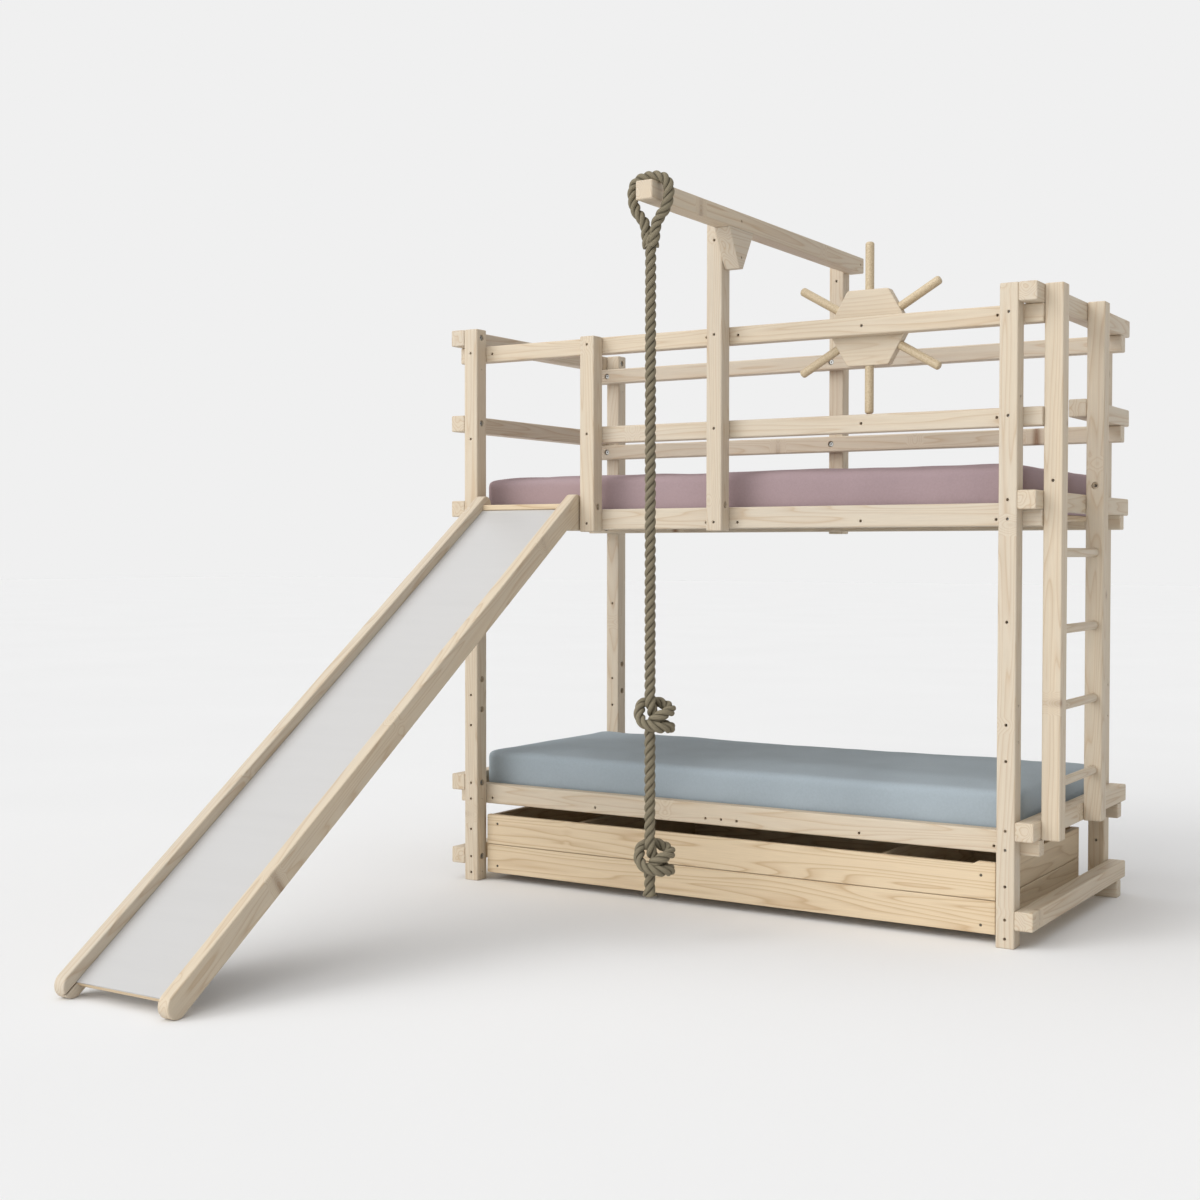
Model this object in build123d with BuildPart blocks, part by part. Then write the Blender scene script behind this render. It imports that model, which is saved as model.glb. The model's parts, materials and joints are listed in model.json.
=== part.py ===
"""Bunk bed with slide, ladder, under-bed drawer, crane beam with climbing rope and toy steering wheel.

Millimetres.  X runs along the bed, Y from the slide's foot to the back, Z up from the floor.
The origin is on the floor, below the middle of the whole bed.
"""
from build123d import *
from math import cos, pi, radians, sin, sqrt, tan
import os

os.makedirs("parts", exist_ok=True)

# Timber sections
SECTION = 57.0  # square posts, end beams, crane beam and ladder stringers
HALF = SECTION / 2
EDGE = 5.0  # rounded long edges
END_EDGE = 2.5  # broken edges of sawn ends
RAIL_T = 45.0  # thickness of every rail
SIDE_H = 70.0  # height of the four bed sides
SIDE_DROP = 20.5  # bottom of a bed side below its hole line

# Beds
MATTRESS_L = 2000.0
MATTRESS_W = 800.0
MATTRESS_T = 142.0
MATTRESS_CROWN = 9.0
MATTRESS_CROWN_LONG = 14.0
MATTRESS_PLAY = 0.5  # tufted underside, lower at the middle of the ends
MATTRESS_CORNER = 45.0
MATTRESS_ROLL = 22.0  # rounded top and bottom edges
MATTRESS_WAIST = 3.0  # how far the sides are drawn in
END_GAP = 10.0  # mattress to posts' outer faces
SIDE_GAP = 9.0  # mattress to rails

LENGTH = MATTRESS_L + 2 * END_GAP  # over the corner posts
WIDTH = MATTRESS_W + 2 * (SIDE_GAP + RAIL_T + SECTION)

# Levels of the hole system
PITCH = 305.0
TOP_LINE = 1885.0
MIDDLE_LINE = TOP_LINE - PITCH
BED_LINE = MIDDLE_LINE - PITCH
SPARE_HIGH = BED_LINE - PITCH
SPARE_MID = SPARE_HIGH - PITCH
SPARE_LOW = SPARE_MID - 108.0
LOWER_LINE = 293.0
DRAWER_LINE = LOWER_LINE - 109.0
FOOT_LINE = HALF
CRANE_LINE = TOP_LINE + PITCH
POST_TOP = TOP_LINE + HALF + SECTION
CRANE_TOP = CRANE_LINE + HALF + SECTION

# Bores and bolts
BORE = 9.0
COUNTERBORE = 22.0
SINK = 12.0  # depth of a counterbore
PILOT = 5.0
PILOT_DEPTH = 8.0
BOLT = 8.0
BOLT_L = 80.0
BOLT_HEAD = 16.0
BOLT_HEAD_T = 7.0
HEAD_SIDES = 6
SHANK_SIDES = 8
TIP_GAP = 1.0  # behind a bolt's tip

# Middle posts, from the outer face of the left posts to their middle lines
CRANE_POST = LENGTH / 2
SLIDE_POST = CRANE_POST - 491.0
WHEEL_PLACE = CRANE_POST + 491.0
RAIL_SPARE = 58.0  # spare rail holes on both sides of the middle
RAIL_END_SPARE = 928.0  # spare rail holes near the ends, from the middle

# Crane
CRANE_REACH = 546.0  # beam past the front of the posts
BLOCK_TOP = 3 * SECTION
BLOCK_FOOT = 23.0
BLOCK_H = 124.0
BLOCK_EDGE = 4.0
BLOCK_HOLE = 35.0  # above the block's foot

# Ladder
LADDER_START = 68.0  # behind the front of the posts
LADDER_PITCH = 440.0
RUNG = 28.0
RUNG_FIRST = 485.0
RUNG_STEP = 230.5
RUNG_COUNT = 4
RUNG_SEAT = 20.0
SEAT_CLEARANCE = 0.1

# Bed bases
LEDGE_T = 22.0
LEDGE_H = 26.0
LEDGE_RISE = 2.0  # above the bottom of the bed side
SLAT_T = 17.0
SLAT_W = 70.0
SLAT_COUNT = 14
SLAT_MARGIN = 75.0  # first slat's middle line from the posts' outer face
SLAT_GAP = 2.0
REST_GAP = 0.5  # mattress above the slats

# Slide
SLIDE_ANGLE = 35.2
STRINGER_W = 70.0
STRINGER_T = 39.0
STRINGER_GAP = 5.0  # stringer to post
STRINGER_EDGE = 4.0
FOOT_R = STRINGER_W / 2
HEEL_Y = -67.0  # from the front of the posts
HEEL_Z = 1250.0
HEAD_Y = 25.0
HEAD_R = 28.0
HEEL_R = 6.0
PANEL_T = 4.0
PANEL_RISE = 36.7  # sliding surface above the stringers' lower edge
PANEL_SEAT = 8.0  # groove depth
PANEL_PLAY = 0.3
PANEL_START = 11.5  # lower end, up the slope from the middle of the foot
PANEL_TOP_Z = BED_LINE + 47.5
BOARD_T = 18.5
BOARD_FRONT = -26.0
BATTEN_W = 45.0
BATTEN_T = 12.0
BATTEN_PLAY = 0.2
BATTEN_STEPS = (0.0, 0.26, 0.5, 0.74, 0.97)  # places along the panel

# Toy steering wheel
WHEEL_SIDES = 6
WHEEL_FLATS = 239.0
WHEEL_T = 34.0
WHEEL_CORNER = 10.0
WHEEL_EDGE = 3.0
GRIP = 28.0
GRIP_REACH = 271.0  # tip of a grip from the middle
GRIP_SEAT = 30.0
GRIP_TIP = 9.0
PIVOT = 12.0
PIVOT_PLAY = 0.05
PIVOT_SEAT = 34.0  # depth in the rail
PIVOT_HEAD = 26.0
PIVOT_HEAD_T = 6.0
SPACER = 3.0
SPACER_D = 32.0
HEAD_PLAY = 0.3

# Drawer
DRAWER_GAP = 14.0  # to the posts
DRAWER_BACK_GAP = 9.0  # to the back foot rail
DRAWER_SET = 40.0  # front behind the posts' front
DRAWER_LOW = 28.0
PLANK_T = 20.0
PLANK_H = 101.0
PLANK_SEAM = 2.0
PLANK_EDGE = 2.0
FRONT_TOP = 236.0
SIDE_TOP = 233.0
STEP_RISE = 9.0  # raised right end of the front
STEP_L = 56.0
STEP_SLOPE = 16.0
FLOOR_T = 6.0
FLOOR_Z = 62.0
FLOOR_SEAT = 6.0
FLOOR_PLAY = 0.2
DIVIDER_T = 15.0
DIVIDER_TOP = 232.0
DIVIDER_PLACE = 564.0  # from the drawer's middle
CORNER_W = 45.0
CORNER_T = 30.0
CORNER_DROP = 12.5  # shorter than the sides
SCREW_HEAD = 9.0
SCREW_HEAD_T = 3.0
SCREW = 4.5
SCREW_L = 45.0
SCREW_SINK = 1.0
SCREW_EDGE = 25.0  # above the drawer's lower edge
SCREW_EDGE_TOP = 29.0  # below its upper edge

# Castors
WHEEL_D = 50.0
WHEEL_W = 18.0
WHEEL_CROWN = 2.0
AXLE = 6.0
AXLE_PLAY = 0.05
FLOOR_CLEARANCE = 0.5
CHEEK_T = 3.0
CHEEK_GAP = 1.0
CHEEK_W = 22.0
HOUSING_L = 56.0
HOUSING_T = 3.0
HOUSING_SIDE = 7.5  # housing beyond each cheek
CASTOR_X = 150.0  # from the drawer's side
CASTOR_Y = 120.0  # from the drawer's front and back

# Rope: an eye round the crane beam, then a straight hanging line that winds aside at its two knots
ROPE = 34.0
ROPE_Y = -505.0  # from the front of the posts
EYE_GAP = 0.3  # rope to the beam's top
EYE_HALF = 62.0  # middle line of the eye's sides, from the beam's middle
EYE_WIDEST = 13.5  # below the beam, where the sides turn in
EYE_LEG = 0.54 * ROPE  # half the distance of the eye's legs
EYE_CROSS = 60.5  # below the beam, where the legs turn down
EYE_FOOT = 93.5  # below the beam
NECK_L = 62.0
HINGE_GAP = 0.3
KNOT_LEVELS = (690.5, 261.5)
LINE_END = 144.0
RUN_SHARE = 0.45  # part of the shorter run that an arc takes
KNOT_FACE = 32.0  # the knots' broad side, turned from the X axis
# A knot's run, wound and not truly tied: across its broad side, behind it, and up, in rope diameters
KNOT = (
    (0.0, 0.0, 1.17),
    (1.66, -0.51, 0.32),
    (1.73, 0.92, 1.28),
    (-0.29, 1.55, 1.18),
    (-1.28, -0.46, -0.01),
    (0.81, -1.51, -1.18),
    (2.03, 0.04, -1.27),
    (1.11, 1.12, -0.33),
    (0.0, 0.0, -1.16),
)

SLOPE = radians(SLIDE_ANGLE)
FOOT_Z = FOOT_R
FOOT_Y = HEEL_Y - (HEEL_Z - FOOT_R + FOOT_R / cos(SLOPE)) / tan(SLOPE)
SLIDE_REACH = FOOT_R - FOOT_Y

LEFT = -(LENGTH + SECTION) / 2
RIGHT = LEFT + LENGTH
FRONT = (SLIDE_REACH - WIDTH) / 2
BACK = FRONT + WIDTH
RAIL_FRONT = FRONT + SECTION
RAIL_BACK = BACK - SECTION - RAIL_T
MIDDLE_X = LEFT + CRANE_POST

ALONG_X = (0, 90, 0)
ALONG_Y = (90, 0, 0)

volumes = {}


def keep(name, shape):
    """Label a finished sub-part, write its file and note its volume."""
    shape.label = name
    volumes[name] = shape.volume
    export_step(shape, f"parts/{name}.step")


def break_ends(axis, size=END_EDGE):
    """Break the edges round both sawn ends of a bar."""
    ends = faces().sort_by(axis)
    chamfer(ends[0].edges() + ends[-1].edges(), length=size)


def upright(x, y, low, high):
    """Square bar standing on its lower end."""
    with BuildSketch(Plane.XY.offset(low)) as section:
        with Locations((x + HALF, y + HALF)):
            RectangleRounded(SECTION, SECTION, EDGE)
    extrude(section.sketch, amount=high - low, dir=(0, 0, 1))
    break_ends(Axis.Z)


def crossbar(x, y_start, y_end, low):
    """Square bar from front to back."""
    with BuildSketch(Plane.XZ.offset(-y_start)) as section:
        with Locations((x + HALF, low + HALF)):
            RectangleRounded(SECTION, SECTION, EDGE)
    extrude(section.sketch, amount=y_end - y_start, dir=(0, 1, 0))
    break_ends(Axis.Y)


def rail(x_start, x_end, y, low, height):
    """Flat bar along the bed."""
    with BuildSketch(Plane.YZ.offset(x_start)) as section:
        with Locations((y + RAIL_T / 2, low + height / 2)):
            RectangleRounded(RAIL_T, height, EDGE)
    extrude(section.sketch, amount=x_end - x_start, dir=(1, 0, 0))
    break_ends(Axis.X)


def drill(places, diameter, depth, turn):
    """Round holes with their middles at the places."""
    with Locations(*places):
        Cylinder(diameter / 2, depth, rotation=turn, mode=Mode.SUBTRACT)


# Corner posts, drilled on the whole hole system
POST_LINES = (TOP_LINE, MIDDLE_LINE, BED_LINE, SPARE_HIGH, SPARE_MID, SPARE_LOW, LOWER_LINE, DRAWER_LINE)
FOOT_LINES = (FOOT_LINE,)
END_LINES = (TOP_LINE, MIDDLE_LINE, BED_LINE, SPARE_MID, SPARE_LOW, LOWER_LINE, FOOT_LINE)
DOWEL_LINES = (BED_LINE, LOWER_LINE, FOOT_LINE)
PILOT_LEVELS = (TOP_LINE - SECTION, LOWER_LINE, FOOT_LINE)


def corner_post(x, y, inward, outward_y):
    """Corner post: inward is the X direction of the bed, outward_y the Y direction away from it."""
    mid_x = x + HALF
    mid_y = y + HALF
    inner = mid_x + inward * HALF
    outer = mid_y + outward_y * HALF
    upright(x, y, 0, POST_TOP)
    drill([(mid_x, mid_y, z) for z in POST_LINES + FOOT_LINES], BORE, SECTION, ALONG_Y)
    drill([(mid_x, mid_y, z + SECTION) for z in END_LINES], BORE, SECTION, ALONG_X)
    drill([(inner, mid_y, z + SECTION) for z in END_LINES], COUNTERBORE, 2 * SINK, ALONG_X)
    drill([(mid_x, outer, z + SECTION) for z in DOWEL_LINES], BORE, 2 * SINK, ALONG_Y)
    drill([(inner, mid_y, z) for z in PILOT_LEVELS], PILOT, 2 * PILOT_DEPTH, ALONG_X)


with BuildPart() as post_front_left:
    corner_post(LEFT, FRONT, 1, -1)
keep("post_front_left", post_front_left.part)

with BuildPart() as post_front_right:
    corner_post(RIGHT - SECTION, FRONT, -1, -1)
keep("post_front_right", post_front_right.part)

with BuildPart() as post_back_left:
    corner_post(LEFT, BACK - SECTION, 1, 1)
keep("post_back_left", post_back_left.part)

with BuildPart() as post_back_right:
    corner_post(RIGHT - SECTION, BACK - SECTION, -1, 1)
keep("post_back_right", post_back_right.part)

# Post beside the slide
with BuildPart() as post_slide:
    slide_x = LEFT + SLIDE_POST
    upright(slide_x - HALF, FRONT, BED_LINE - HALF, TOP_LINE + HALF)
    levels = (TOP_LINE, MIDDLE_LINE, BED_LINE)
    drill([(slide_x, FRONT + HALF, z) for z in levels], BORE, SECTION, ALONG_Y)
    drill([(slide_x, FRONT + HALF, BED_LINE + SECTION)], BORE, SECTION, ALONG_X)
    drill([(slide_x + HALF, FRONT + HALF, BED_LINE + SECTION)], COUNTERBORE, 2 * SINK, ALONG_X)
keep("post_slide", post_slide.part)


# Two tall posts that carry the crane beam
def crane_post(y):
    mid_y = y + HALF
    upright(MIDDLE_X - HALF, y, BED_LINE - HALF, CRANE_TOP)
    levels = (CRANE_LINE, TOP_LINE, MIDDLE_LINE, BED_LINE)
    beam = CRANE_LINE + SECTION
    drill([(MIDDLE_X, mid_y, z) for z in levels], BORE, SECTION, ALONG_Y)
    drill([(MIDDLE_X, mid_y, z) for z in (beam, BED_LINE + SECTION)], BORE, SECTION, ALONG_X)
    drill([(MIDDLE_X - HALF, mid_y, beam)], COUNTERBORE, 2 * SINK, ALONG_X)
    drill([(MIDDLE_X + HALF, mid_y, BED_LINE + SECTION)], COUNTERBORE, 2 * SINK, ALONG_X)


BLOCK_LOW = CRANE_TOP - SECTION - BLOCK_H
BLOCK_BOLT_Z = BLOCK_LOW + BLOCK_HOLE

with BuildPart() as post_crane_front:
    crane_post(FRONT)
    drill([(MIDDLE_X, FRONT + HALF, BLOCK_BOLT_Z)], BORE, SECTION, ALONG_X)
    drill([(MIDDLE_X - HALF, FRONT + HALF, BLOCK_BOLT_Z)], COUNTERBORE, 2 * SINK, ALONG_X)
keep("post_crane_front", post_crane_front.part)

with BuildPart() as post_crane_back:
    crane_post(BACK - SECTION)
keep("post_crane_back", post_crane_back.part)

# Rails, with bores at the posts and spare holes between them
OUTER_LEFT = LEFT - SECTION
OUTER_RIGHT = RIGHT + SECTION
POST_XS = (LEFT + HALF, LEFT + SLIDE_POST, MIDDLE_X, RIGHT - HALF)
SPARE_XS = (
    MIDDLE_X - RAIL_END_SPARE,
    MIDDLE_X - RAIL_SPARE,
    MIDDLE_X + RAIL_SPARE,
    LEFT + WHEEL_PLACE,
    MIDDLE_X + RAIL_END_SPARE,
)


def rail_bores(y, line, xs, inner):
    """Bores at the posts, counterbored on the side that faces the mattress."""
    mid_y = y + RAIL_T / 2
    drill([(x, mid_y, line) for x in xs], BORE, RAIL_T, ALONG_Y)
    drill([(x, mid_y + inner * RAIL_T / 2, line) for x in xs], COUNTERBORE, 2 * SINK, ALONG_Y)


def spare_bores(y, line, xs):
    """Spare holes, as deep as half the rail."""
    drill([(x, y, line) for x in xs], BORE, RAIL_T, ALONG_Y)


with BuildPart() as rail_front_top:
    rail(OUTER_LEFT, OUTER_RIGHT, RAIL_FRONT, TOP_LINE - HALF, SECTION)
    rail_bores(RAIL_FRONT, TOP_LINE, POST_XS, 1)
    spare_bores(RAIL_FRONT, TOP_LINE, [x for x in SPARE_XS if x != LEFT + WHEEL_PLACE])
    drill([(LEFT + WHEEL_PLACE, RAIL_FRONT + RAIL_T / 2, TOP_LINE)], BORE, RAIL_T, ALONG_Y)
    pivot_hole = (LEFT + WHEEL_PLACE, RAIL_FRONT + RAIL_T - PIVOT_SEAT / 2, TOP_LINE)
    drill([pivot_hole], PIVOT + 2 * PIVOT_PLAY, PIVOT_SEAT, ALONG_Y)
keep("rail_front_top", rail_front_top.part)

with BuildPart() as rail_front_middle:
    rail(LEFT + SLIDE_POST - HALF, OUTER_RIGHT, RAIL_FRONT, MIDDLE_LINE - HALF, SECTION)
    rail_bores(RAIL_FRONT, MIDDLE_LINE, POST_XS[1:], 1)
    spare_bores(RAIL_FRONT, MIDDLE_LINE, SPARE_XS[-2:])
keep("rail_front_middle", rail_front_middle.part)


def bed_side(y, line, xs, inner):
    """Bed side: both ends are notched, so that the end beams lie in them."""
    rail(OUTER_LEFT, OUTER_RIGHT, y, line - SIDE_DROP, SIDE_H)
    notch = SIDE_H - SIDE_DROP - HALF
    with Locations((OUTER_LEFT, y + RAIL_T / 2, line + HALF), (OUTER_RIGHT, y + RAIL_T / 2, line + HALF)):
        Box(2 * SECTION, RAIL_T, 2 * notch, align=(Align.CENTER, Align.CENTER, Align.MIN), mode=Mode.SUBTRACT)
    rail_bores(y, line, xs, inner)


with BuildPart() as rail_front_upper:
    bed_side(RAIL_FRONT, BED_LINE, POST_XS, 1)
    spare_bores(RAIL_FRONT, BED_LINE, SPARE_XS)
keep("rail_front_upper", rail_front_upper.part)

with BuildPart() as rail_front_lower:
    bed_side(RAIL_FRONT, LOWER_LINE, (POST_XS[0], POST_XS[-1]), 1)
    spare_bores(RAIL_FRONT, LOWER_LINE, SPARE_XS + (LEFT + SLIDE_POST, MIDDLE_X))
keep("rail_front_lower", rail_front_lower.part)

BACK_XS = (POST_XS[0], MIDDLE_X, POST_XS[-1])

for name, line in (("rail_back_top", TOP_LINE), ("rail_back_middle", MIDDLE_LINE)):
    with BuildPart() as rail_back:
        rail(OUTER_LEFT, OUTER_RIGHT, RAIL_BACK, line - HALF, SECTION)
        rail_bores(RAIL_BACK, line, BACK_XS, -1)
    keep(name, rail_back.part)

with BuildPart() as rail_back_foot:
    rail(OUTER_LEFT, OUTER_RIGHT, RAIL_BACK, FOOT_LINE - HALF, SECTION)
    rail_bores(RAIL_BACK, FOOT_LINE, (POST_XS[0], POST_XS[-1]), -1)
keep("rail_back_foot", rail_back_foot.part)

with BuildPart() as rail_back_upper:
    bed_side(RAIL_BACK, BED_LINE, BACK_XS, -1)
keep("rail_back_upper", rail_back_upper.part)

with BuildPart() as rail_back_lower:
    bed_side(RAIL_BACK, LOWER_LINE, (POST_XS[0], POST_XS[-1]), -1)
keep("rail_back_lower", rail_back_lower.part)

# End beams lie on the rails' ends, outside the posts
LADDER_YS = (FRONT + LADDER_START + HALF, FRONT + LADDER_START + HALF + LADDER_PITCH)
POST_YS = (FRONT + HALF, BACK - HALF)


def end_beam(x, line, bolts_to_ladder=(), start=FRONT):
    """End beam over the given hole line, counterbored towards the bed for the ladder's bolts."""
    level = line + SECTION
    crossbar(x, start, BACK, level - HALF)
    inner = x if x > 0 else x + SECTION
    step_in = 1 if x > 0 else -1
    posts = [y for y in POST_YS if y > start]
    drill([(inner + step_in * BOLT_L / 4, y, level) for y in posts], BORE, BOLT_L / 2, ALONG_X)
    if bolts_to_ladder:
        drill([(x + HALF, y, level) for y in bolts_to_ladder], BORE, SECTION, ALONG_X)
        drill([(x, y, level) for y in bolts_to_ladder], COUNTERBORE, 2 * SINK, ALONG_X)


for name, line in (("end_left_top", TOP_LINE), ("end_left_middle", MIDDLE_LINE), ("end_left_upper", BED_LINE)):
    with BuildPart() as end_left:
        end_beam(OUTER_LEFT, line)
    keep(name, end_left.part)

for name, line in (("end_right_top", TOP_LINE), ("end_right_upper", BED_LINE)):
    with BuildPart() as end_right:
        end_beam(RIGHT, line, LADDER_YS)
    keep(name, end_right.part)

with BuildPart() as end_right_middle:
    end_beam(RIGHT, MIDDLE_LINE, LADDER_YS[1:], LADDER_YS[1] - HALF)
keep("end_right_middle", end_right_middle.part)

with BuildPart() as end_left_lower:
    end_beam(OUTER_LEFT, LOWER_LINE)
keep("end_left_lower", end_left_lower.part)

with BuildPart() as end_right_lower:
    end_beam(RIGHT, LOWER_LINE, LADDER_YS)
keep("end_right_lower", end_right_lower.part)

with BuildPart() as end_foot_beams:
    end_beam(OUTER_LEFT, FOOT_LINE)
    with BuildPart(mode=Mode.PRIVATE) as right_foot_beam:
        end_beam(RIGHT, FOOT_LINE)
    add(right_foot_beam.part)
keep("end_foot_beams", end_foot_beams.part)

# Ladder with round rungs
LADDER_LOW = LOWER_LINE + HALF
RUNG_LEVELS = [RUNG_FIRST + RUNG_STEP * step for step in range(RUNG_COUNT)]
GRAB_LEVEL = BED_LINE + 2 * SECTION


TIE_DEPTH = BOLT_L + SINK - SECTION + TIP_GAP  # bolts reach this far into a stringer


def ladder_stringer(mid_y, inward, tied):
    upright(RIGHT + SECTION, mid_y - HALF, LADDER_LOW, POST_TOP)
    mid_x = RIGHT + SECTION + HALF
    seat = [(mid_x, mid_y + inward * HALF, z) for z in RUNG_LEVELS]
    drill(seat, RUNG + 2 * SEAT_CLEARANCE, 2 * RUNG_SEAT, ALONG_Y)
    drill([(RIGHT + SECTION, mid_y, z) for z in tied], BORE, 2 * TIE_DEPTH, ALONG_X)
    drill([(mid_x, mid_y, GRAB_LEVEL)], BORE, SECTION, ALONG_Y)


with BuildPart() as ladder_stringer_front:
    ladder_stringer(LADDER_YS[0], 1, [line + SECTION for line in (TOP_LINE, BED_LINE, LOWER_LINE)])
    drill([(RIGHT + SECTION + HALF, LADDER_YS[0] + HALF, GRAB_LEVEL)], COUNTERBORE, 2 * SINK, ALONG_Y)
keep("ladder_stringer_front", ladder_stringer_front.part)

with BuildPart() as ladder_stringer_back:
    ladder_stringer(LADDER_YS[1], -1, [line + SECTION for line in (TOP_LINE, MIDDLE_LINE, BED_LINE, LOWER_LINE)])
    drill([(RIGHT + SECTION + HALF, LADDER_YS[1] - HALF, GRAB_LEVEL)], COUNTERBORE, 2 * SINK, ALONG_Y)
keep("ladder_stringer_back", ladder_stringer_back.part)

with BuildPart() as ladder_rungs:
    middle = (LADDER_YS[0] + LADDER_YS[1]) / 2
    rung_length = LADDER_PITCH - SECTION + 2 * (RUNG_SEAT - SEAT_CLEARANCE)
    with Locations(*[(RIGHT + SECTION + HALF, middle, z) for z in RUNG_LEVELS]):
        Cylinder(RUNG / 2, rung_length, rotation=ALONG_Y)
keep("ladder_rungs", ladder_rungs.part)

# Crane beam and the block under it
with BuildPart() as crane_beam:
    crossbar(MIDDLE_X + HALF, FRONT - CRANE_REACH, BACK, CRANE_TOP - SECTION)
    drill([(MIDDLE_X + SECTION, y, CRANE_TOP - HALF) for y in POST_YS], BORE, SECTION, ALONG_X)
keep("crane_beam", crane_beam.part)

with BuildPart() as crane_block:
    with BuildSketch(Plane.YZ.offset(MIDDLE_X + HALF)):
        with BuildLine():
            Polyline(
                (FRONT + HALF - BLOCK_TOP / 2, CRANE_TOP - SECTION),
                (FRONT + HALF + BLOCK_TOP / 2, CRANE_TOP - SECTION),
                (FRONT + HALF + BLOCK_FOOT / 2, BLOCK_LOW),
                (FRONT + HALF - BLOCK_FOOT / 2, BLOCK_LOW),
                close=True,
            )
        make_face()
    extrude(amount=SECTION, dir=(1, 0, 0))
    slanted = edges().filter_by(Axis.X, reverse=True).filter_by(Axis.Y, reverse=True)
    fillet(slanted, radius=BLOCK_EDGE)
    drill([(MIDDLE_X + SECTION, FRONT + HALF, BLOCK_BOLT_Z)], BORE, SECTION, ALONG_X)
keep("crane_block", crane_block.part)

# Bed bases: ledges on the bed sides carry the slats
INNER_FRONT = RAIL_FRONT + RAIL_T
INNER_BACK = RAIL_BACK
BED_LEVELS = (BED_LINE - SIDE_DROP, LOWER_LINE - SIDE_DROP)
SLAT_TOP = LEDGE_RISE + LEDGE_H + SLAT_T

with BuildPart() as base_ledges:
    ledge_places = []
    for level in BED_LEVELS:
        ledge_places.append((MIDDLE_X, INNER_FRONT + LEDGE_T / 2, level + LEDGE_RISE + LEDGE_H / 2))
        ledge_places.append((MIDDLE_X, INNER_BACK - LEDGE_T / 2, level + LEDGE_RISE + LEDGE_H / 2))
    with Locations(*ledge_places):
        Box(LENGTH - 2 * SECTION, LEDGE_T, LEDGE_H)
keep("base_ledges", base_ledges.part)

with BuildPart() as base_slats:
    slat_step = (LENGTH - 2 * SLAT_MARGIN) / (SLAT_COUNT - 1)
    for level in BED_LEVELS:
        with Locations((MIDDLE_X, (INNER_FRONT + INNER_BACK) / 2, level + SLAT_TOP - SLAT_T / 2)):
            with GridLocations(slat_step, 1, SLAT_COUNT, 1):
                Box(SLAT_W, INNER_BACK - INNER_FRONT - 2 * SLAT_GAP, SLAT_T)
keep("base_slats", base_slats.part)


# Mattresses: crowned top, rolled edges and slightly drawn-in sides
def crowned(plane, middle, span, low, crown):
    """Side view of a mattress: flat below, crowned above, sides drawn in."""
    half = span / 2
    waist = half - MATTRESS_WAIST
    high = low + MATTRESS_T
    with BuildSketch(plane) as profile:
        with BuildLine():
            Line((middle - half, low), (middle + half, low))
            ThreePointArc((middle + half, low), (middle + waist, low + MATTRESS_T / 2), (middle + half, high))
            ThreePointArc((middle + half, high), (middle, high + crown), (middle - half, high))
            ThreePointArc((middle - half, high), (middle - waist, low + MATTRESS_T / 2), (middle - half, low))
        make_face()
        fillet(profile.vertices(), radius=MATTRESS_ROLL)
    return profile.sketch


def mattress(low):
    mid_y = (INNER_FRONT + INNER_BACK) / 2
    with BuildSketch(Plane.XY.offset(low - MATTRESS_PLAY)) as outline:
        with Locations((MIDDLE_X, mid_y)):
            RectangleRounded(MATTRESS_L, MATTRESS_W, MATTRESS_CORNER)
    extrude(outline.sketch, amount=2 * MATTRESS_T, dir=(0, 0, 1))
    across = crowned(Plane.YZ.offset(MIDDLE_X - MATTRESS_L), mid_y, MATTRESS_W, low, MATTRESS_CROWN)
    extrude(across, amount=2 * MATTRESS_L, dir=(1, 0, 0), mode=Mode.INTERSECT)
    lengthwise = crowned(Plane.XZ.offset(MATTRESS_W - mid_y), MIDDLE_X, MATTRESS_L,
                         low - MATTRESS_PLAY, MATTRESS_CROWN_LONG)
    extrude(lengthwise, amount=2 * MATTRESS_W, dir=(0, 1, 0), mode=Mode.INTERSECT)


with BuildPart() as mattress_upper:
    mattress(BED_LEVELS[0] + SLAT_TOP + REST_GAP)
keep("mattress_upper", mattress_upper.part)

with BuildPart() as mattress_lower:
    mattress(BED_LEVELS[1] + SLAT_TOP + REST_GAP)
keep("mattress_lower", mattress_lower.part)

# Slide: two grooved stringers with rounded feet, a smooth panel between them
STRINGER_XS = (LEFT + SECTION + STRINGER_GAP, LEFT + SLIDE_POST - HALF - STRINGER_GAP - STRINGER_T)
INNER_LEFT = STRINGER_XS[0] + STRINGER_T
INNER_RIGHT = STRINGER_XS[1]
UP = Vector(0, cos(SLOPE), sin(SLOPE))
OUT = Vector(0, -sin(SLOPE), cos(SLOPE))
FOOT = Vector(0, FRONT + FOOT_Y, FOOT_Z)
SURFACE = PANEL_RISE - FOOT_R
HEAD_Z = HEEL_Z + (HEAD_Y - HEEL_Y) * tan(SLOPE) + STRINGER_W / cos(SLOPE)
PANEL_L = (PANEL_TOP_Z - FOOT_Z - SURFACE * cos(SLOPE)) / sin(SLOPE) - PANEL_START


def on_slope(along, out):
    """Place in the slide's side view: distance up the slope and out of the foot's middle line."""
    spot = FOOT + UP * along + OUT * out
    return (spot.Y, spot.Z)


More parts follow.
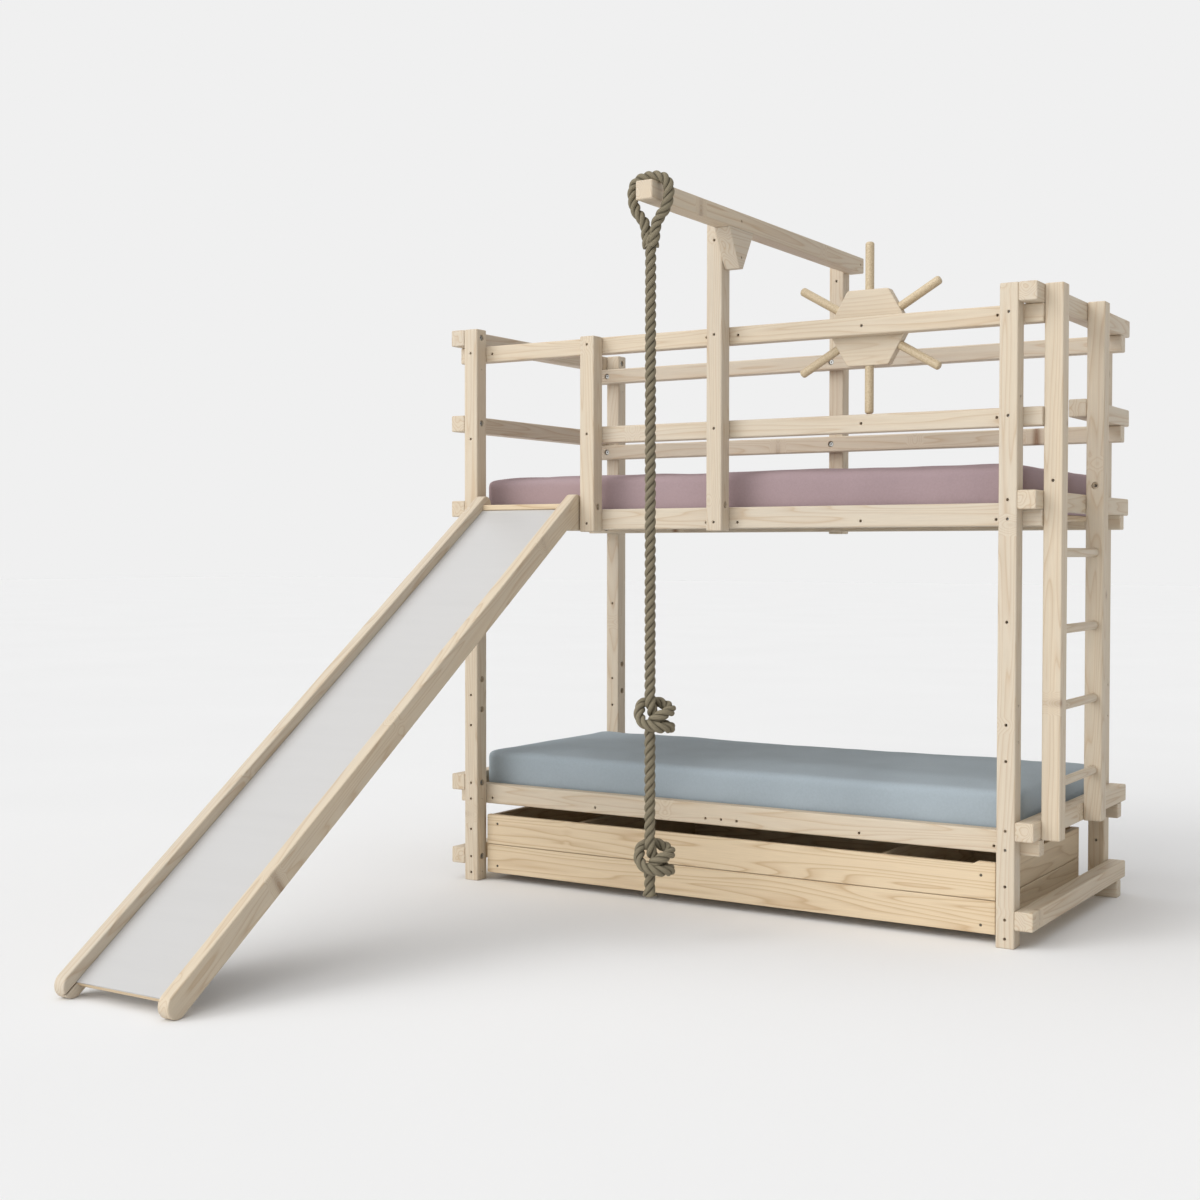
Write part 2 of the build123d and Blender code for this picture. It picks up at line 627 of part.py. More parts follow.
def stringer(x):
    with BuildSketch(Plane.YZ.offset(x)) as outline:
        with BuildLine():
            Polyline(
                on_slope(0, -FOOT_R),
                (FRONT + HEEL_Y, HEEL_Z),
                (FRONT + HEAD_Y, HEEL_Z),
                (FRONT + HEAD_Y, HEAD_Z),
                on_slope(0, FOOT_R),
            )
            ThreePointArc(on_slope(0, FOOT_R), on_slope(-FOOT_R, 0), on_slope(0, -FOOT_R))
        make_face()
        fillet(outline.vertices().sort_by(Axis.Y)[-1], radius=HEAD_R)
        fillet(outline.vertices().group_by(Axis.X)[-1].sort_by(Axis.Y)[0], radius=HEEL_R)
    extrude(outline.sketch, amount=STRINGER_T, dir=(1, 0, 0))
    sides = faces().sort_by(Axis.X)
    fillet(sides[0].edges() + sides[-1].edges(), radius=STRINGER_EDGE)


def groove(x):
    """Groove for the panel, open at the foot."""
    middle = (SURFACE + PANEL_PLAY) - (PANEL_T + 2 * PANEL_PLAY) / 2
    start = -STRINGER_W
    length = PANEL_L + PANEL_START + PANEL_PLAY - start
    seat = FOOT + UP * (start + length / 2) + OUT * middle
    with Locations(Location((x, seat.Y, seat.Z), (SLIDE_ANGLE, 0, 0))):
        Box(2 * PANEL_SEAT, length, PANEL_T + 2 * PANEL_PLAY, mode=Mode.SUBTRACT)


with BuildPart() as slide_stringer_left:
    stringer(STRINGER_XS[0])
    groove(INNER_LEFT)
keep("slide_stringer_left", slide_stringer_left.part)

with BuildPart() as slide_stringer_right:
    stringer(STRINGER_XS[1])
    groove(INNER_RIGHT)
keep("slide_stringer_right", slide_stringer_right.part)

with BuildPart() as slide_panel:
    panel_mid = FOOT + UP * (PANEL_START + PANEL_L / 2) + OUT * (SURFACE - PANEL_T / 2)
    with Locations(Location(((INNER_LEFT + INNER_RIGHT) / 2, panel_mid.Y, panel_mid.Z), (SLIDE_ANGLE, 0, 0))):
        Box(INNER_RIGHT - INNER_LEFT + 2 * (PANEL_SEAT - PANEL_PLAY), PANEL_L, PANEL_T)
keep("slide_panel", slide_panel.part)

# Board over the bed side, and battens under the panel
with BuildPart() as slide_board:
    board_low = BED_LINE - SIDE_DROP + SIDE_H
    board_y = (FRONT + BOARD_FRONT + INNER_FRONT) / 2
    with Locations(((INNER_LEFT + INNER_RIGHT) / 2, board_y, board_low + BOARD_T / 2)):
        Box(INNER_RIGHT - INNER_LEFT - 2 * BATTEN_PLAY, INNER_FRONT - FRONT - BOARD_FRONT, BOARD_T)
    fillet(edges().filter_by(Axis.X), radius=PLANK_EDGE)
keep("slide_board", slide_board.part)

with BuildPart() as slide_battens:
    for step in BATTEN_STEPS:
        along = PANEL_START + BATTEN_W / 2 + step * (PANEL_L - BATTEN_W)
        spot = FOOT + UP * along + OUT * (SURFACE - PANEL_T - BATTEN_T / 2)
        with Locations(Location(((INNER_LEFT + INNER_RIGHT) / 2, spot.Y, spot.Z), (SLIDE_ANGLE, 0, 0))):
            Box(INNER_RIGHT - INNER_LEFT - 2 * BATTEN_PLAY, BATTEN_W, BATTEN_T)
keep("slide_battens", slide_battens.part)

# Toy steering wheel: hexagonal board with six turned grips, on a bolt behind the top rail
WHEEL_X = LEFT + WHEEL_PLACE
WHEEL_Y = INNER_FRONT + SPACER
GRIP_TURNS = [360 / WHEEL_SIDES * number for number in range(WHEEL_SIDES)]

with BuildPart() as steering_board:
    with BuildSketch(Plane.XZ.offset(-WHEEL_Y)) as hexagon:
        with Locations((WHEEL_X, TOP_LINE)):
            RegularPolygon(WHEEL_FLATS / sqrt(3), WHEEL_SIDES)
        fillet(hexagon.vertices(), radius=WHEEL_CORNER)
    extrude(amount=WHEEL_T, dir=(0, 1, 0))
    cheeks = faces().sort_by(Axis.Y)
    fillet(cheeks[0].edges() + cheeks[-1].edges(), radius=WHEEL_EDGE)
    middle_y = WHEEL_Y + WHEEL_T / 2
    drill([(WHEEL_X, middle_y, TOP_LINE)], PIVOT + 2 * PIVOT_PLAY, WHEEL_T, ALONG_Y)
    for turn in GRIP_TURNS:
        reach = WHEEL_FLATS / 2
        spot = (WHEEL_X + reach * sin(radians(turn)), middle_y, TOP_LINE + reach * cos(radians(turn)))
        with Locations(Location(spot, (0, turn, 0))):
            Cylinder((GRIP + SEAT_CLEARANCE) / 2, 2 * GRIP_SEAT, mode=Mode.SUBTRACT)
keep("steering_board", steering_board.part)

with BuildPart() as steering_grips:
    seat_start = WHEEL_FLATS / 2 - GRIP_SEAT + SEAT_CLEARANCE
    for turn in GRIP_TURNS:
        with Locations(Location((WHEEL_X, WHEEL_Y + WHEEL_T / 2, TOP_LINE), (0, turn, 0))):
            with Locations((0, 0, seat_start)):
                Cylinder(GRIP / 2, GRIP_REACH - seat_start, align=(Align.CENTER, Align.CENTER, Align.MIN))
    tips = [tip for tip in edges().filter_by(GeomType.CIRCLE)
            if (tip.center() - Vector(WHEEL_X, WHEEL_Y + WHEEL_T / 2, TOP_LINE)).length > GRIP_REACH - 1]
    fillet(tips, radius=GRIP_TIP)
keep("steering_grips", steering_grips.part)

with BuildPart() as steering_pivot:
    with Locations((WHEEL_X, INNER_FRONT + SPACER / 2, TOP_LINE)):
        Cylinder(SPACER_D / 2, SPACER - HEAD_PLAY, rotation=ALONG_Y)
        Cylinder(PIVOT / 2 + PIVOT_PLAY, SPACER, rotation=ALONG_Y, mode=Mode.SUBTRACT)
    shank = PIVOT_SEAT + SPACER + WHEEL_T + HEAD_PLAY
    with Locations((WHEEL_X, INNER_FRONT - PIVOT_SEAT + shank / 2, TOP_LINE)):
        Cylinder(PIVOT / 2, shank, rotation=ALONG_Y)
    with Locations((WHEEL_X, WHEEL_Y + WHEEL_T + HEAD_PLAY + PIVOT_HEAD_T / 2, TOP_LINE)):
        Cylinder(PIVOT_HEAD / 2, PIVOT_HEAD_T, rotation=ALONG_Y)
    back_rim = faces().sort_by(Axis.Y)[-1].edges()
    chamfer(back_rim, length=PIVOT_HEAD_T / 3)
keep("steering_pivot", steering_pivot.part)

# Bolts: one kind, each sunk in a counterbore on the side towards the bed
bolts = []
for line, xs in ((TOP_LINE, POST_XS), (MIDDLE_LINE, POST_XS[1:]), (BED_LINE, POST_XS),
                 (LOWER_LINE, (POST_XS[0], POST_XS[-1]))):
    bolts += [Location((x, INNER_FRONT - SINK, line), (90, 0, 0)) for x in xs]
for line, xs in ((TOP_LINE, BACK_XS), (MIDDLE_LINE, BACK_XS), (BED_LINE, BACK_XS),
                 (LOWER_LINE, (POST_XS[0], POST_XS[-1])), (FOOT_LINE, (POST_XS[0], POST_XS[-1]))):
    bolts += [Location((x, INNER_BACK + SINK, line), (-90, 0, 0)) for x in xs]
for line in (TOP_LINE, MIDDLE_LINE, BED_LINE, LOWER_LINE, FOOT_LINE):
    bolts += [Location((LEFT + SECTION - SINK, y, line + SECTION), (0, -90, 0)) for y in POST_YS]
    used = POST_YS[1:] if line == MIDDLE_LINE else POST_YS
    bolts += [Location((RIGHT - SECTION + SINK, y, line + SECTION), (0, 90, 0)) for y in used]
for line, ys in ((TOP_LINE, LADDER_YS), (MIDDLE_LINE, LADDER_YS[1:]), (BED_LINE, LADDER_YS), (LOWER_LINE, LADDER_YS)):
    bolts += [Location((RIGHT + SINK, y, line + SECTION), (0, 90, 0)) for y in ys]
bolts += [Location((MIDDLE_X - HALF + SINK, y, CRANE_TOP - HALF), (0, 90, 0)) for y in POST_YS]
bolts.append(Location((MIDDLE_X - HALF + SINK, FRONT + HALF, BLOCK_BOLT_Z), (0, 90, 0)))

with BuildPart() as bolt:
    with BuildSketch():
        RegularPolygon(BOLT / 2, SHANK_SIDES)
    extrude(amount=BOLT_L)
    with BuildSketch():
        RegularPolygon(BOLT_HEAD / 2, HEAD_SIDES)
    extrude(amount=-BOLT_HEAD_T)
frame_bolts = Compound([bolt.part.solid().moved(place) for place in bolts])
keep("frame_bolts", frame_bolts)

# Drawer of two planks on each side, on four fixed castors
DRAWER_LEFT = LEFT + SECTION + DRAWER_GAP
DRAWER_RIGHT = RIGHT - SECTION - DRAWER_GAP
DRAWER_W = DRAWER_RIGHT - DRAWER_LEFT
DRAWER_FRONT = FRONT + DRAWER_SET
DRAWER_BACK = RAIL_BACK - DRAWER_BACK_GAP
SEAM_TOP = DRAWER_LOW + PLANK_H + PLANK_SEAM
LOWER_TOP = DRAWER_LOW + PLANK_H
DRAWER_MID_Y = (DRAWER_FRONT + DRAWER_BACK) / 2
TRAY_FRONT = DRAWER_FRONT + PLANK_T
TRAY_BACK = DRAWER_BACK - PLANK_T
SCREW_XS = (DRAWER_LEFT + CORNER_W, DRAWER_RIGHT - CORNER_W)
SCREW_ZS = (DRAWER_LOW + SCREW_EDGE, SIDE_TOP - SCREW_EDGE_TOP)


def floor_groove():
    with Locations((MIDDLE_X, DRAWER_MID_Y, FLOOR_Z)):
        Box(
            DRAWER_W - 2 * PLANK_T + 2 * FLOOR_SEAT,
            DRAWER_BACK - DRAWER_FRONT - 2 * PLANK_T + 2 * FLOOR_SEAT,
            FLOOR_T + 2 * FLOOR_PLAY,
            mode=Mode.SUBTRACT,
        )


def screw_holes(y):
    heads = [(x, y, z) for x in SCREW_XS for z in SCREW_ZS]
    drill(heads, SCREW_HEAD, 2 * (SCREW_HEAD_T + SCREW_SINK), ALONG_Y)
    drill(heads, SCREW, 2 * (SCREW_L + SCREW_SINK), ALONG_Y)


with BuildPart() as drawer_front_lower:
    with Locations((MIDDLE_X, DRAWER_FRONT + PLANK_T / 2, DRAWER_LOW + PLANK_H / 2)):
        Box(DRAWER_W, PLANK_T, PLANK_H)
    fillet(edges(), radius=PLANK_EDGE)
    floor_groove()
    screw_holes(DRAWER_FRONT)
keep("drawer_front_lower", drawer_front_lower.part)

with BuildPart() as drawer_front_upper:
    with BuildSketch(Plane.XZ.offset(-DRAWER_FRONT)) as front_outline:
        with BuildLine():
            Polyline(
                (DRAWER_LEFT, SEAM_TOP),
                (DRAWER_RIGHT, SEAM_TOP),
                (DRAWER_RIGHT, FRONT_TOP + STEP_RISE),
                (DRAWER_RIGHT - STEP_L, FRONT_TOP + STEP_RISE),
                (DRAWER_RIGHT - STEP_L - STEP_SLOPE, FRONT_TOP),
                (DRAWER_LEFT, FRONT_TOP),
                close=True,
            )
        make_face()
        corners = front_outline.vertices().group_by(Axis.Y)
        fillet([corners[-1].sort_by(Axis.X)[-1], corners[1].sort_by(Axis.X)[0]], radius=EDGE)
    extrude(amount=PLANK_T, dir=(0, 1, 0))
    faces_y = faces().sort_by(Axis.Y)
    fillet(faces_y[0].edges() + faces_y[-1].edges(), radius=PLANK_EDGE)
    screw_holes(DRAWER_FRONT)
keep("drawer_front_upper", drawer_front_upper.part)

with BuildPart() as drawer_sides:
    for low, high in ((DRAWER_LOW, LOWER_TOP), (SEAM_TOP, SIDE_TOP)):
        with Locations(
            (DRAWER_LEFT + PLANK_T / 2, DRAWER_MID_Y, (low + high) / 2),
            (DRAWER_RIGHT - PLANK_T / 2, DRAWER_MID_Y, (low + high) / 2),
        ):
            Box(PLANK_T, TRAY_BACK - TRAY_FRONT, high - low)
    fillet(edges().filter_by(Axis.Y), radius=PLANK_EDGE)
    floor_groove()
keep("drawer_sides", drawer_sides.part)

with BuildPart() as drawer_backs:
    for low, high in ((DRAWER_LOW, LOWER_TOP), (SEAM_TOP, SIDE_TOP)):
        with Locations((MIDDLE_X, DRAWER_BACK - PLANK_T / 2, (low + high) / 2)):
            Box(DRAWER_W, PLANK_T, high - low)
    fillet(edges().filter_by(Axis.Z), radius=EDGE)
    floor_groove()
    screw_holes(DRAWER_BACK)
keep("drawer_backs", drawer_backs.part)

with BuildPart() as drawer_floor:
    with Locations((MIDDLE_X, DRAWER_MID_Y, FLOOR_Z)):
        Box(
            DRAWER_W - 2 * PLANK_T + 2 * (FLOOR_SEAT - FLOOR_PLAY),
            DRAWER_BACK - DRAWER_FRONT - 2 * PLANK_T + 2 * (FLOOR_SEAT - FLOOR_PLAY),
            FLOOR_T,
        )
    with Locations((MIDDLE_X, DRAWER_MID_Y, FLOOR_Z)):
        with GridLocations(DRAWER_W - 2 * PLANK_T - CORNER_W, TRAY_BACK - TRAY_FRONT - CORNER_T, 2, 2):
            Box(CORNER_W + 2 * BATTEN_PLAY, CORNER_T + 2 * BATTEN_PLAY, 2 * FLOOR_T, mode=Mode.SUBTRACT)
keep("drawer_floor", drawer_floor.part)

FLOOR_TOP = FLOOR_Z + FLOOR_T / 2
with BuildPart() as drawer_dividers:
    with Locations(
        (MIDDLE_X - DIVIDER_PLACE, DRAWER_MID_Y, (FLOOR_TOP + DIVIDER_TOP) / 2),
        (MIDDLE_X + DIVIDER_PLACE, DRAWER_MID_Y, (FLOOR_TOP + DIVIDER_TOP) / 2),
    ):
        Box(DIVIDER_T, TRAY_BACK - TRAY_FRONT, DIVIDER_TOP - FLOOR_TOP)
    fillet(edges().group_by(Axis.Z)[-1].filter_by(Axis.Y), radius=PLANK_EDGE)
keep("drawer_dividers", drawer_dividers.part)

with BuildPart() as drawer_corners:
    with Locations((MIDDLE_X, DRAWER_MID_Y, (DRAWER_LOW + SIDE_TOP) / 2)):
        with GridLocations(DRAWER_W - 2 * PLANK_T - CORNER_W, TRAY_BACK - TRAY_FRONT - CORNER_T, 2, 2):
            Box(CORNER_W, CORNER_T, SIDE_TOP - DRAWER_LOW - CORNER_DROP)
    screw_holes(DRAWER_FRONT)
    screw_holes(DRAWER_BACK)
keep("drawer_corners", drawer_corners.part)

with BuildPart() as screw:
    Cylinder(SCREW / 2, SCREW_L, align=(Align.CENTER, Align.CENTER, Align.MIN))
    with Locations((0, 0, SCREW_HEAD_T)):
        Cylinder(SCREW_HEAD / 2, SCREW_HEAD_T, align=(Align.CENTER, Align.CENTER, Align.MAX))
screw_places = []
for z in SCREW_ZS:
    for x in SCREW_XS:
        screw_places.append(Location((x, DRAWER_FRONT + SCREW_SINK, z), (-90, 0, 0)))
        screw_places.append(Location((x, DRAWER_BACK - SCREW_SINK, z), (90, 0, 0)))
drawer_screws = Compound([screw.part.solid().moved(place) for place in screw_places])
keep("drawer_screws", drawer_screws)

# Castors: a housing with two cheeks and a fixed axle, one wheel in each
WHEEL_Z = WHEEL_D / 2 + FLOOR_CLEARANCE
FLOOR_LOW = FLOOR_Z - FLOOR_T / 2
CASTOR_PLACES = {
    "front_left": (DRAWER_LEFT + CASTOR_X, DRAWER_FRONT + CASTOR_Y),
    "front_right": (DRAWER_RIGHT - CASTOR_X, DRAWER_FRONT + CASTOR_Y),
    "back_left": (DRAWER_LEFT + CASTOR_X, DRAWER_BACK - CASTOR_Y),
    "back_right": (DRAWER_RIGHT - CASTOR_X, DRAWER_BACK - CASTOR_Y),
}
SPREAD = WHEEL_W + 2 * CHEEK_GAP + CHEEK_T

with BuildPart() as drawer_castors:
    for x, y in CASTOR_PLACES.values():
        with Locations((x, y, FLOOR_LOW - HOUSING_T / 2)):
            Box(SPREAD + 2 * HOUSING_SIDE, HOUSING_L, HOUSING_T)
        with Locations((x - SPREAD / 2, y, FLOOR_LOW - HOUSING_T), (x + SPREAD / 2, y, FLOOR_LOW - HOUSING_T)):
            cheek_h = FLOOR_LOW - HOUSING_T - WHEEL_Z
            Box(CHEEK_T, CHEEK_W, cheek_h, align=(Align.CENTER, Align.CENTER, Align.MAX))
        with Locations((x - SPREAD / 2, y, WHEEL_Z), (x + SPREAD / 2, y, WHEEL_Z)):
            Cylinder(CHEEK_W / 2, CHEEK_T, rotation=ALONG_X)
        with Locations((x, y, WHEEL_Z)):
            Cylinder(AXLE / 2, SPREAD, rotation=ALONG_X)
keep("drawer_castors", drawer_castors.part)

for place, (x, y) in CASTOR_PLACES.items():
    with BuildPart() as castor_wheel:
        with Locations((x, y, WHEEL_Z)):
            Cylinder(WHEEL_D / 2, WHEEL_W, rotation=ALONG_X)
        chamfer(edges().filter_by(GeomType.CIRCLE), length=WHEEL_CROWN)
        drill([(x, y, WHEEL_Z)], AXLE + 2 * AXLE_PLAY, WHEEL_W, ALONG_X)
    keep(f"drawer_wheel_{place}", castor_wheel.part)


# Rope: each piece follows straight runs joined by tangent arcs
ROPE_X = MIDDLE_X + SECTION
BEAM_LOW = CRANE_TOP - SECTION


def rope(name, route, domed=False):
    """Round rope along the route, with arcs as large as the runs allow, and a round head on a hinge."""
    lengths = [(end - start).length for start, end in zip(route, route[1:])]
    turns = [(b - a).get_angle(c - b) for a, b, c in zip(route, route[1:], route[2:])]
    radii = [RUN_SHARE * min(pair) / tan(radians(turn) / 2)
             for pair, turn in zip(zip(lengths, lengths[1:]), turns)]
    with BuildPart() as piece:
        with BuildLine() as path:
            if radii:
                FilletPolyline(*route, radius=radii)
            else:
                Line(*route)
        with BuildSketch(Plane(route[0], z_dir=path.wire() % 0)):
            Circle(ROPE / 2)
        sweep()
        plain = piece.part.volume
        if domed:
            with Locations(route[0]):
                Sphere(ROPE / 2)
    keep(name, piece.part)
    tube = path.wire().length * pi * ROPE ** 2 / 4
    print(name, "length", round(path.wire().length, 1), "radii", [round(radius, 1) for radius in radii])
    print("  volume over section times length", round(plain / tube, 4))


def rope_point(across, level):
    """Point in the eye's own plane, square to the beam."""
    return Vector(ROPE_X + across, FRONT + ROPE_Y, level)


EYE_TOP = CRANE_TOP + EYE_GAP + ROPE / 2
eye_half = (
    (EYE_LEG, BEAM_LOW - EYE_FOOT),
    (EYE_LEG, BEAM_LOW - EYE_CROSS),
    (EYE_HALF, BEAM_LOW - EYE_WIDEST),
    (EYE_HALF, EYE_TOP),
)
left_side = [rope_point(-across, level) for across, level in eye_half]
right_side = [rope_point(across, level) for across, level in eye_half]
rope("rope_eye", left_side + right_side[::-1])

# The neck and the hanging line each turn about the middle of a round head
NECK_HINGE = BEAM_LOW - EYE_FOOT - HINGE_GAP - ROPE / 2
NECK_END = NECK_HINGE - NECK_L + ROPE / 2
LINE_HINGE = NECK_END - HINGE_GAP - ROPE / 2
rope("rope_neck", [rope_point(0, NECK_HINGE), rope_point(0, NECK_END)], domed=True)


def knot_point(level, across, behind, up):
    face = radians(KNOT_FACE)
    return Vector(
        ROPE_X + ROPE * (across * cos(face) - behind * sin(face)),
        FRONT + ROPE_Y + ROPE * (across * sin(face) + behind * cos(face)),
        level + ROPE * up,
    )


line_route = [rope_point(0, LINE_HINGE)]
for level in KNOT_LEVELS:
    line_route += [knot_point(level, *place) for place in KNOT]
line_route.append(rope_point(0, LINE_END))
rope("rope_line", line_route, domed=True)

print("rope hinges", round(NECK_HINGE, 2), round(LINE_HINGE, 2))
print("origin offsets: left", round(LEFT, 2), "front", round(FRONT, 2), "reach", round(SLIDE_REACH, 2))
print("parts:", len(volumes), "volume dm3:", round(sum(volumes.values()) / 1e6, 1))
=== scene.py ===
"""Looks of a timber bunk bed with slide: planed spruce, cotton covers, laid rope and a pale studio."""
import json
import math

import bmesh
import bpy
from bpy.props import FloatProperty, FloatVectorProperty, IntProperty, PointerProperty
from mathutils import Matrix, Vector, noise


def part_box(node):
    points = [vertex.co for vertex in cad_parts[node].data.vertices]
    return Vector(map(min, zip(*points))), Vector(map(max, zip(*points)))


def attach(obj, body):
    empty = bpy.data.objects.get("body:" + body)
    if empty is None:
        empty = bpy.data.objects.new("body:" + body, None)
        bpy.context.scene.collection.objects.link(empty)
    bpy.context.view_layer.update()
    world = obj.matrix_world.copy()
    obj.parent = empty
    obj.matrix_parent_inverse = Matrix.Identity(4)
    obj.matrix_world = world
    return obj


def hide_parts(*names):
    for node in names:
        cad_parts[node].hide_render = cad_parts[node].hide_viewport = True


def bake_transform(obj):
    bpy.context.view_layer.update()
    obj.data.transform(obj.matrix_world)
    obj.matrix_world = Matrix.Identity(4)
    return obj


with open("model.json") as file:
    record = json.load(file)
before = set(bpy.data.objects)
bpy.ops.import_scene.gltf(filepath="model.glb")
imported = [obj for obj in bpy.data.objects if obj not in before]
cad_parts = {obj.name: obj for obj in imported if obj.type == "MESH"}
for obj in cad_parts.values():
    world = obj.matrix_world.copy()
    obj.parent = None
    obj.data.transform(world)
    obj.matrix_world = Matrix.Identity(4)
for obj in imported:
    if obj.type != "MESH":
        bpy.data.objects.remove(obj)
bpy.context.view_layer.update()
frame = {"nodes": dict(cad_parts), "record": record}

bl_info = {
    "name": "Bunk bed with slide",
    "version": (1, 0, 0),
    "blender": (4, 5, 0),
    "location": "View3D > Sidebar > Bunk bed",
    "description": "Dresses a timber bunk bed with covers, rope, bolts and planed wood",
    "category": "Object",
}

MM = 0.001

# The photograph's camera, in the bed's own frame
CAMERA_PLACE = Vector((2.5595, -4.3955, 1.1715))
CAMERA_TURN = math.radians(32.07)
CAMERA_PITCH = math.radians(-1.41)
CAMERA_ROLL = math.radians(0.05)
CAMERA_LENS = 50.23
CAMERA_SENSOR = 36.0
CAMERA_SHIFT = -0.0042

# The rope's route in millimetres. It leaves the solid's in two places, to match the photograph: the eye's feet
# run on into the line's top, and the knots are tied (the solid's run only winds to the sides there).
ROPE_X = 28.5
ROPE_Y = -73.455
EYE_HALF_ROUTE = ((9.0, 2082.0), (14.0, 2118.0), (18.36, 2158.0), (62.0, 2205.0), (62.0, 2292.8))
LINE_START = 2124.7
LINE_END = 144.0
KNOT_LEVELS = (690.5, 261.5)
KNOT_FACE = math.radians(32.0)
# Each knot's run: across, behind and up, from where the line comes down to where it goes on
KNOT = (
    (0.0, 0.0, 2.02),
    (0.0, -0.14, 1.06),
    (0.28, 0.14, 0.0),
    (0.8, 0.91, -0.86),
    (1.96, 0.48, -1.2),
    (1.52, -0.77, -1.1),
    (0.24, -1.15, -1.06),
    (-1.0, -0.34, -0.53),
    (-0.88, 0.48, 0.91),
    (0.24, 1.01, 1.15),
    (1.36, 0.96, 0.82),
    (2.0, 0.0, 0.38),
    (1.28, -0.77, 0.14),
    (0.48, -0.72, -0.24),
    (-0.16, 0.0, -1.01),
    (0.0, 0.05, -1.54),
    (0.0, 0.0, -2.3),
)
KNOT_RUN = 2.0  # rope diameters from a knot's end to its next point
SLIDE_SLOPE = math.radians(35.2)


def linear(text):
    """sRGB hex, such as 'e8d6b8', to linear colour."""
    parts = [int(text[place:place + 2], 16) / 255 for place in (0, 2, 4)]
    return [part / 12.92 if part <= 0.04045 else ((part + 0.055) / 1.055) ** 2.4 for part in parts]


def rgba(colour):
    return (*colour[:3], 1.0)


class BedColours(bpy.types.PropertyGroup):
    timber: FloatVectorProperty(name="Timber", description="Early wood of the planed spruce",
                                subtype="COLOR", default=linear("cabfae"))
    timber_warm: FloatVectorProperty(name="Warm timber", description="Early wood of the warmer boards",
                                     subtype="COLOR", default=linear("d8c4a5"))
    latewood: FloatVectorProperty(name="Late wood", description="Darker lines of the growth rings",
                                  subtype="COLOR", default=linear("ac895f"))
    knot: FloatVectorProperty(name="Knot", description="Heart of a knot", subtype="COLOR", default=linear("765032"))
    upper_cover: FloatVectorProperty(name="Upper cover", description="Cotton of the upper mattress",
                                     subtype="COLOR", default=linear("a49093"))
    lower_cover: FloatVectorProperty(name="Lower cover", description="Cotton of the lower mattress",
                                     subtype="COLOR", default=linear("a4afb6"))
    rope: FloatVectorProperty(name="Rope", description="Hemp yarn in the light",
                              subtype="COLOR", default=linear("857c68"))
    laminate: FloatVectorProperty(name="Laminate", description="Sliding surface",
                                  subtype="COLOR", default=linear("bdbcbb"))


class RopeSizes(bpy.types.PropertyGroup):
    diameter: FloatProperty(name="Diameter", description="Rope over its strands", default=34 * MM,
                            unit="LENGTH", min=10 * MM, max=60 * MM)
    lay: FloatProperty(name="Lay", description="Length of one full turn of a strand", default=84 * MM,
                       unit="LENGTH", min=30 * MM, max=200 * MM)
    step: FloatProperty(name="Step", description="Distance between rings of the mesh", default=3 * MM,
                        unit="LENGTH", min=1 * MM, max=20 * MM)
    sides: IntProperty(name="Sides", description="Faces round each strand", default=14, min=6, max=32)


class CoverSizes(bpy.types.PropertyGroup):
    corner: FloatProperty(name="Corner", description="Radius of the upright corners", default=30 * MM, unit="LENGTH")
    roll: FloatProperty(name="Roll", description="Radius of the top and bottom edges", default=24 * MM, unit="LENGTH")
    crown: FloatProperty(name="Crown", description="Rise of the middle over the edges", default=12 * MM, unit="LENGTH")
    waves: FloatProperty(name="Waves", description="Height of the soft waves in the cover", default=8 * MM,
                         unit="LENGTH")
    grid: FloatProperty(name="Grid", description="Side of a mesh face before smoothing", default=17 * MM,
                        unit="LENGTH")


class BoltSizes(bpy.types.PropertyGroup):
    head: FloatProperty(name="Head", description="Radius of a bolt's head", default=8 * MM, unit="LENGTH")
    head_height: FloatProperty(name="Head height", description="Height of a bolt's head", default=7 * MM,
                               unit="LENGTH")
    shank: FloatProperty(name="Shank", description="Radius of a bolt's shank", default=4 * MM, unit="LENGTH")
    screw_head: FloatProperty(name="Screw head", description="Radius of a wood screw's head", default=4.5 * MM,
                              unit="LENGTH")


class StudioSettings(bpy.types.PropertyGroup):
    key: FloatProperty(name="Key light", description="Strength of the soft slanting light", default=0.55, min=0, max=20)
    front: FloatProperty(name="Front light", description="Strength of the wide light on the fronts", default=2.2,
                         min=0, max=20)
    overhead: FloatProperty(name="Overhead light", description="Strength of the wide light from above", default=1.2,
                            min=0, max=20)
    ambient: FloatProperty(name="Ambient", description="Strength of the light all round", default=0.4, min=0, max=5)
    backdrop: FloatVectorProperty(name="Backdrop", description="Colour of the empty background",
                                  subtype="COLOR", default=linear("f0f0f0"))


def add(tree, kind, settings=None, inputs=None):
    """Add one node with its settings, and link or set its inputs."""
    node = tree.nodes.new(kind)
    for name, value in (settings or {}).items():
        setattr(node, name, value)
    for key, value in (inputs or {}).items():
        if isinstance(value, bpy.types.NodeSocket):
            tree.links.new(value, node.inputs[key])
        else:
            node.inputs[key].default_value = value
    return node


def stops(node, *places):
    """Set the stops of a colour ramp: place and grey or colour."""
    ramp = node.color_ramp
    while len(ramp.elements) < len(places):
        ramp.elements.new(0.5)
    for element, (place, value) in zip(ramp.elements, places):
        element.position = place
        element.color = (value, value, value, 1.0) if isinstance(value, float) else rgba(value)
    return node


def new_material(name):
    material = bpy.data.materials.new(name)
    material.use_nodes = True
    material.node_tree.nodes.clear()
    return material, material.node_tree


def finish_material(tree, shader):
    add(tree, "ShaderNodeOutputMaterial", inputs={"Surface": shader.outputs[0]})


GRAIN_TURNS = {
    "along": (0.0, 0.0, 0.0),
    "across": (0.0, 0.0, -math.pi / 2),
    "upright": (0.0, math.pi / 2, 0.0),
    "slope": (-SLIDE_SLOPE, 0.0, -math.pi / 2),
}


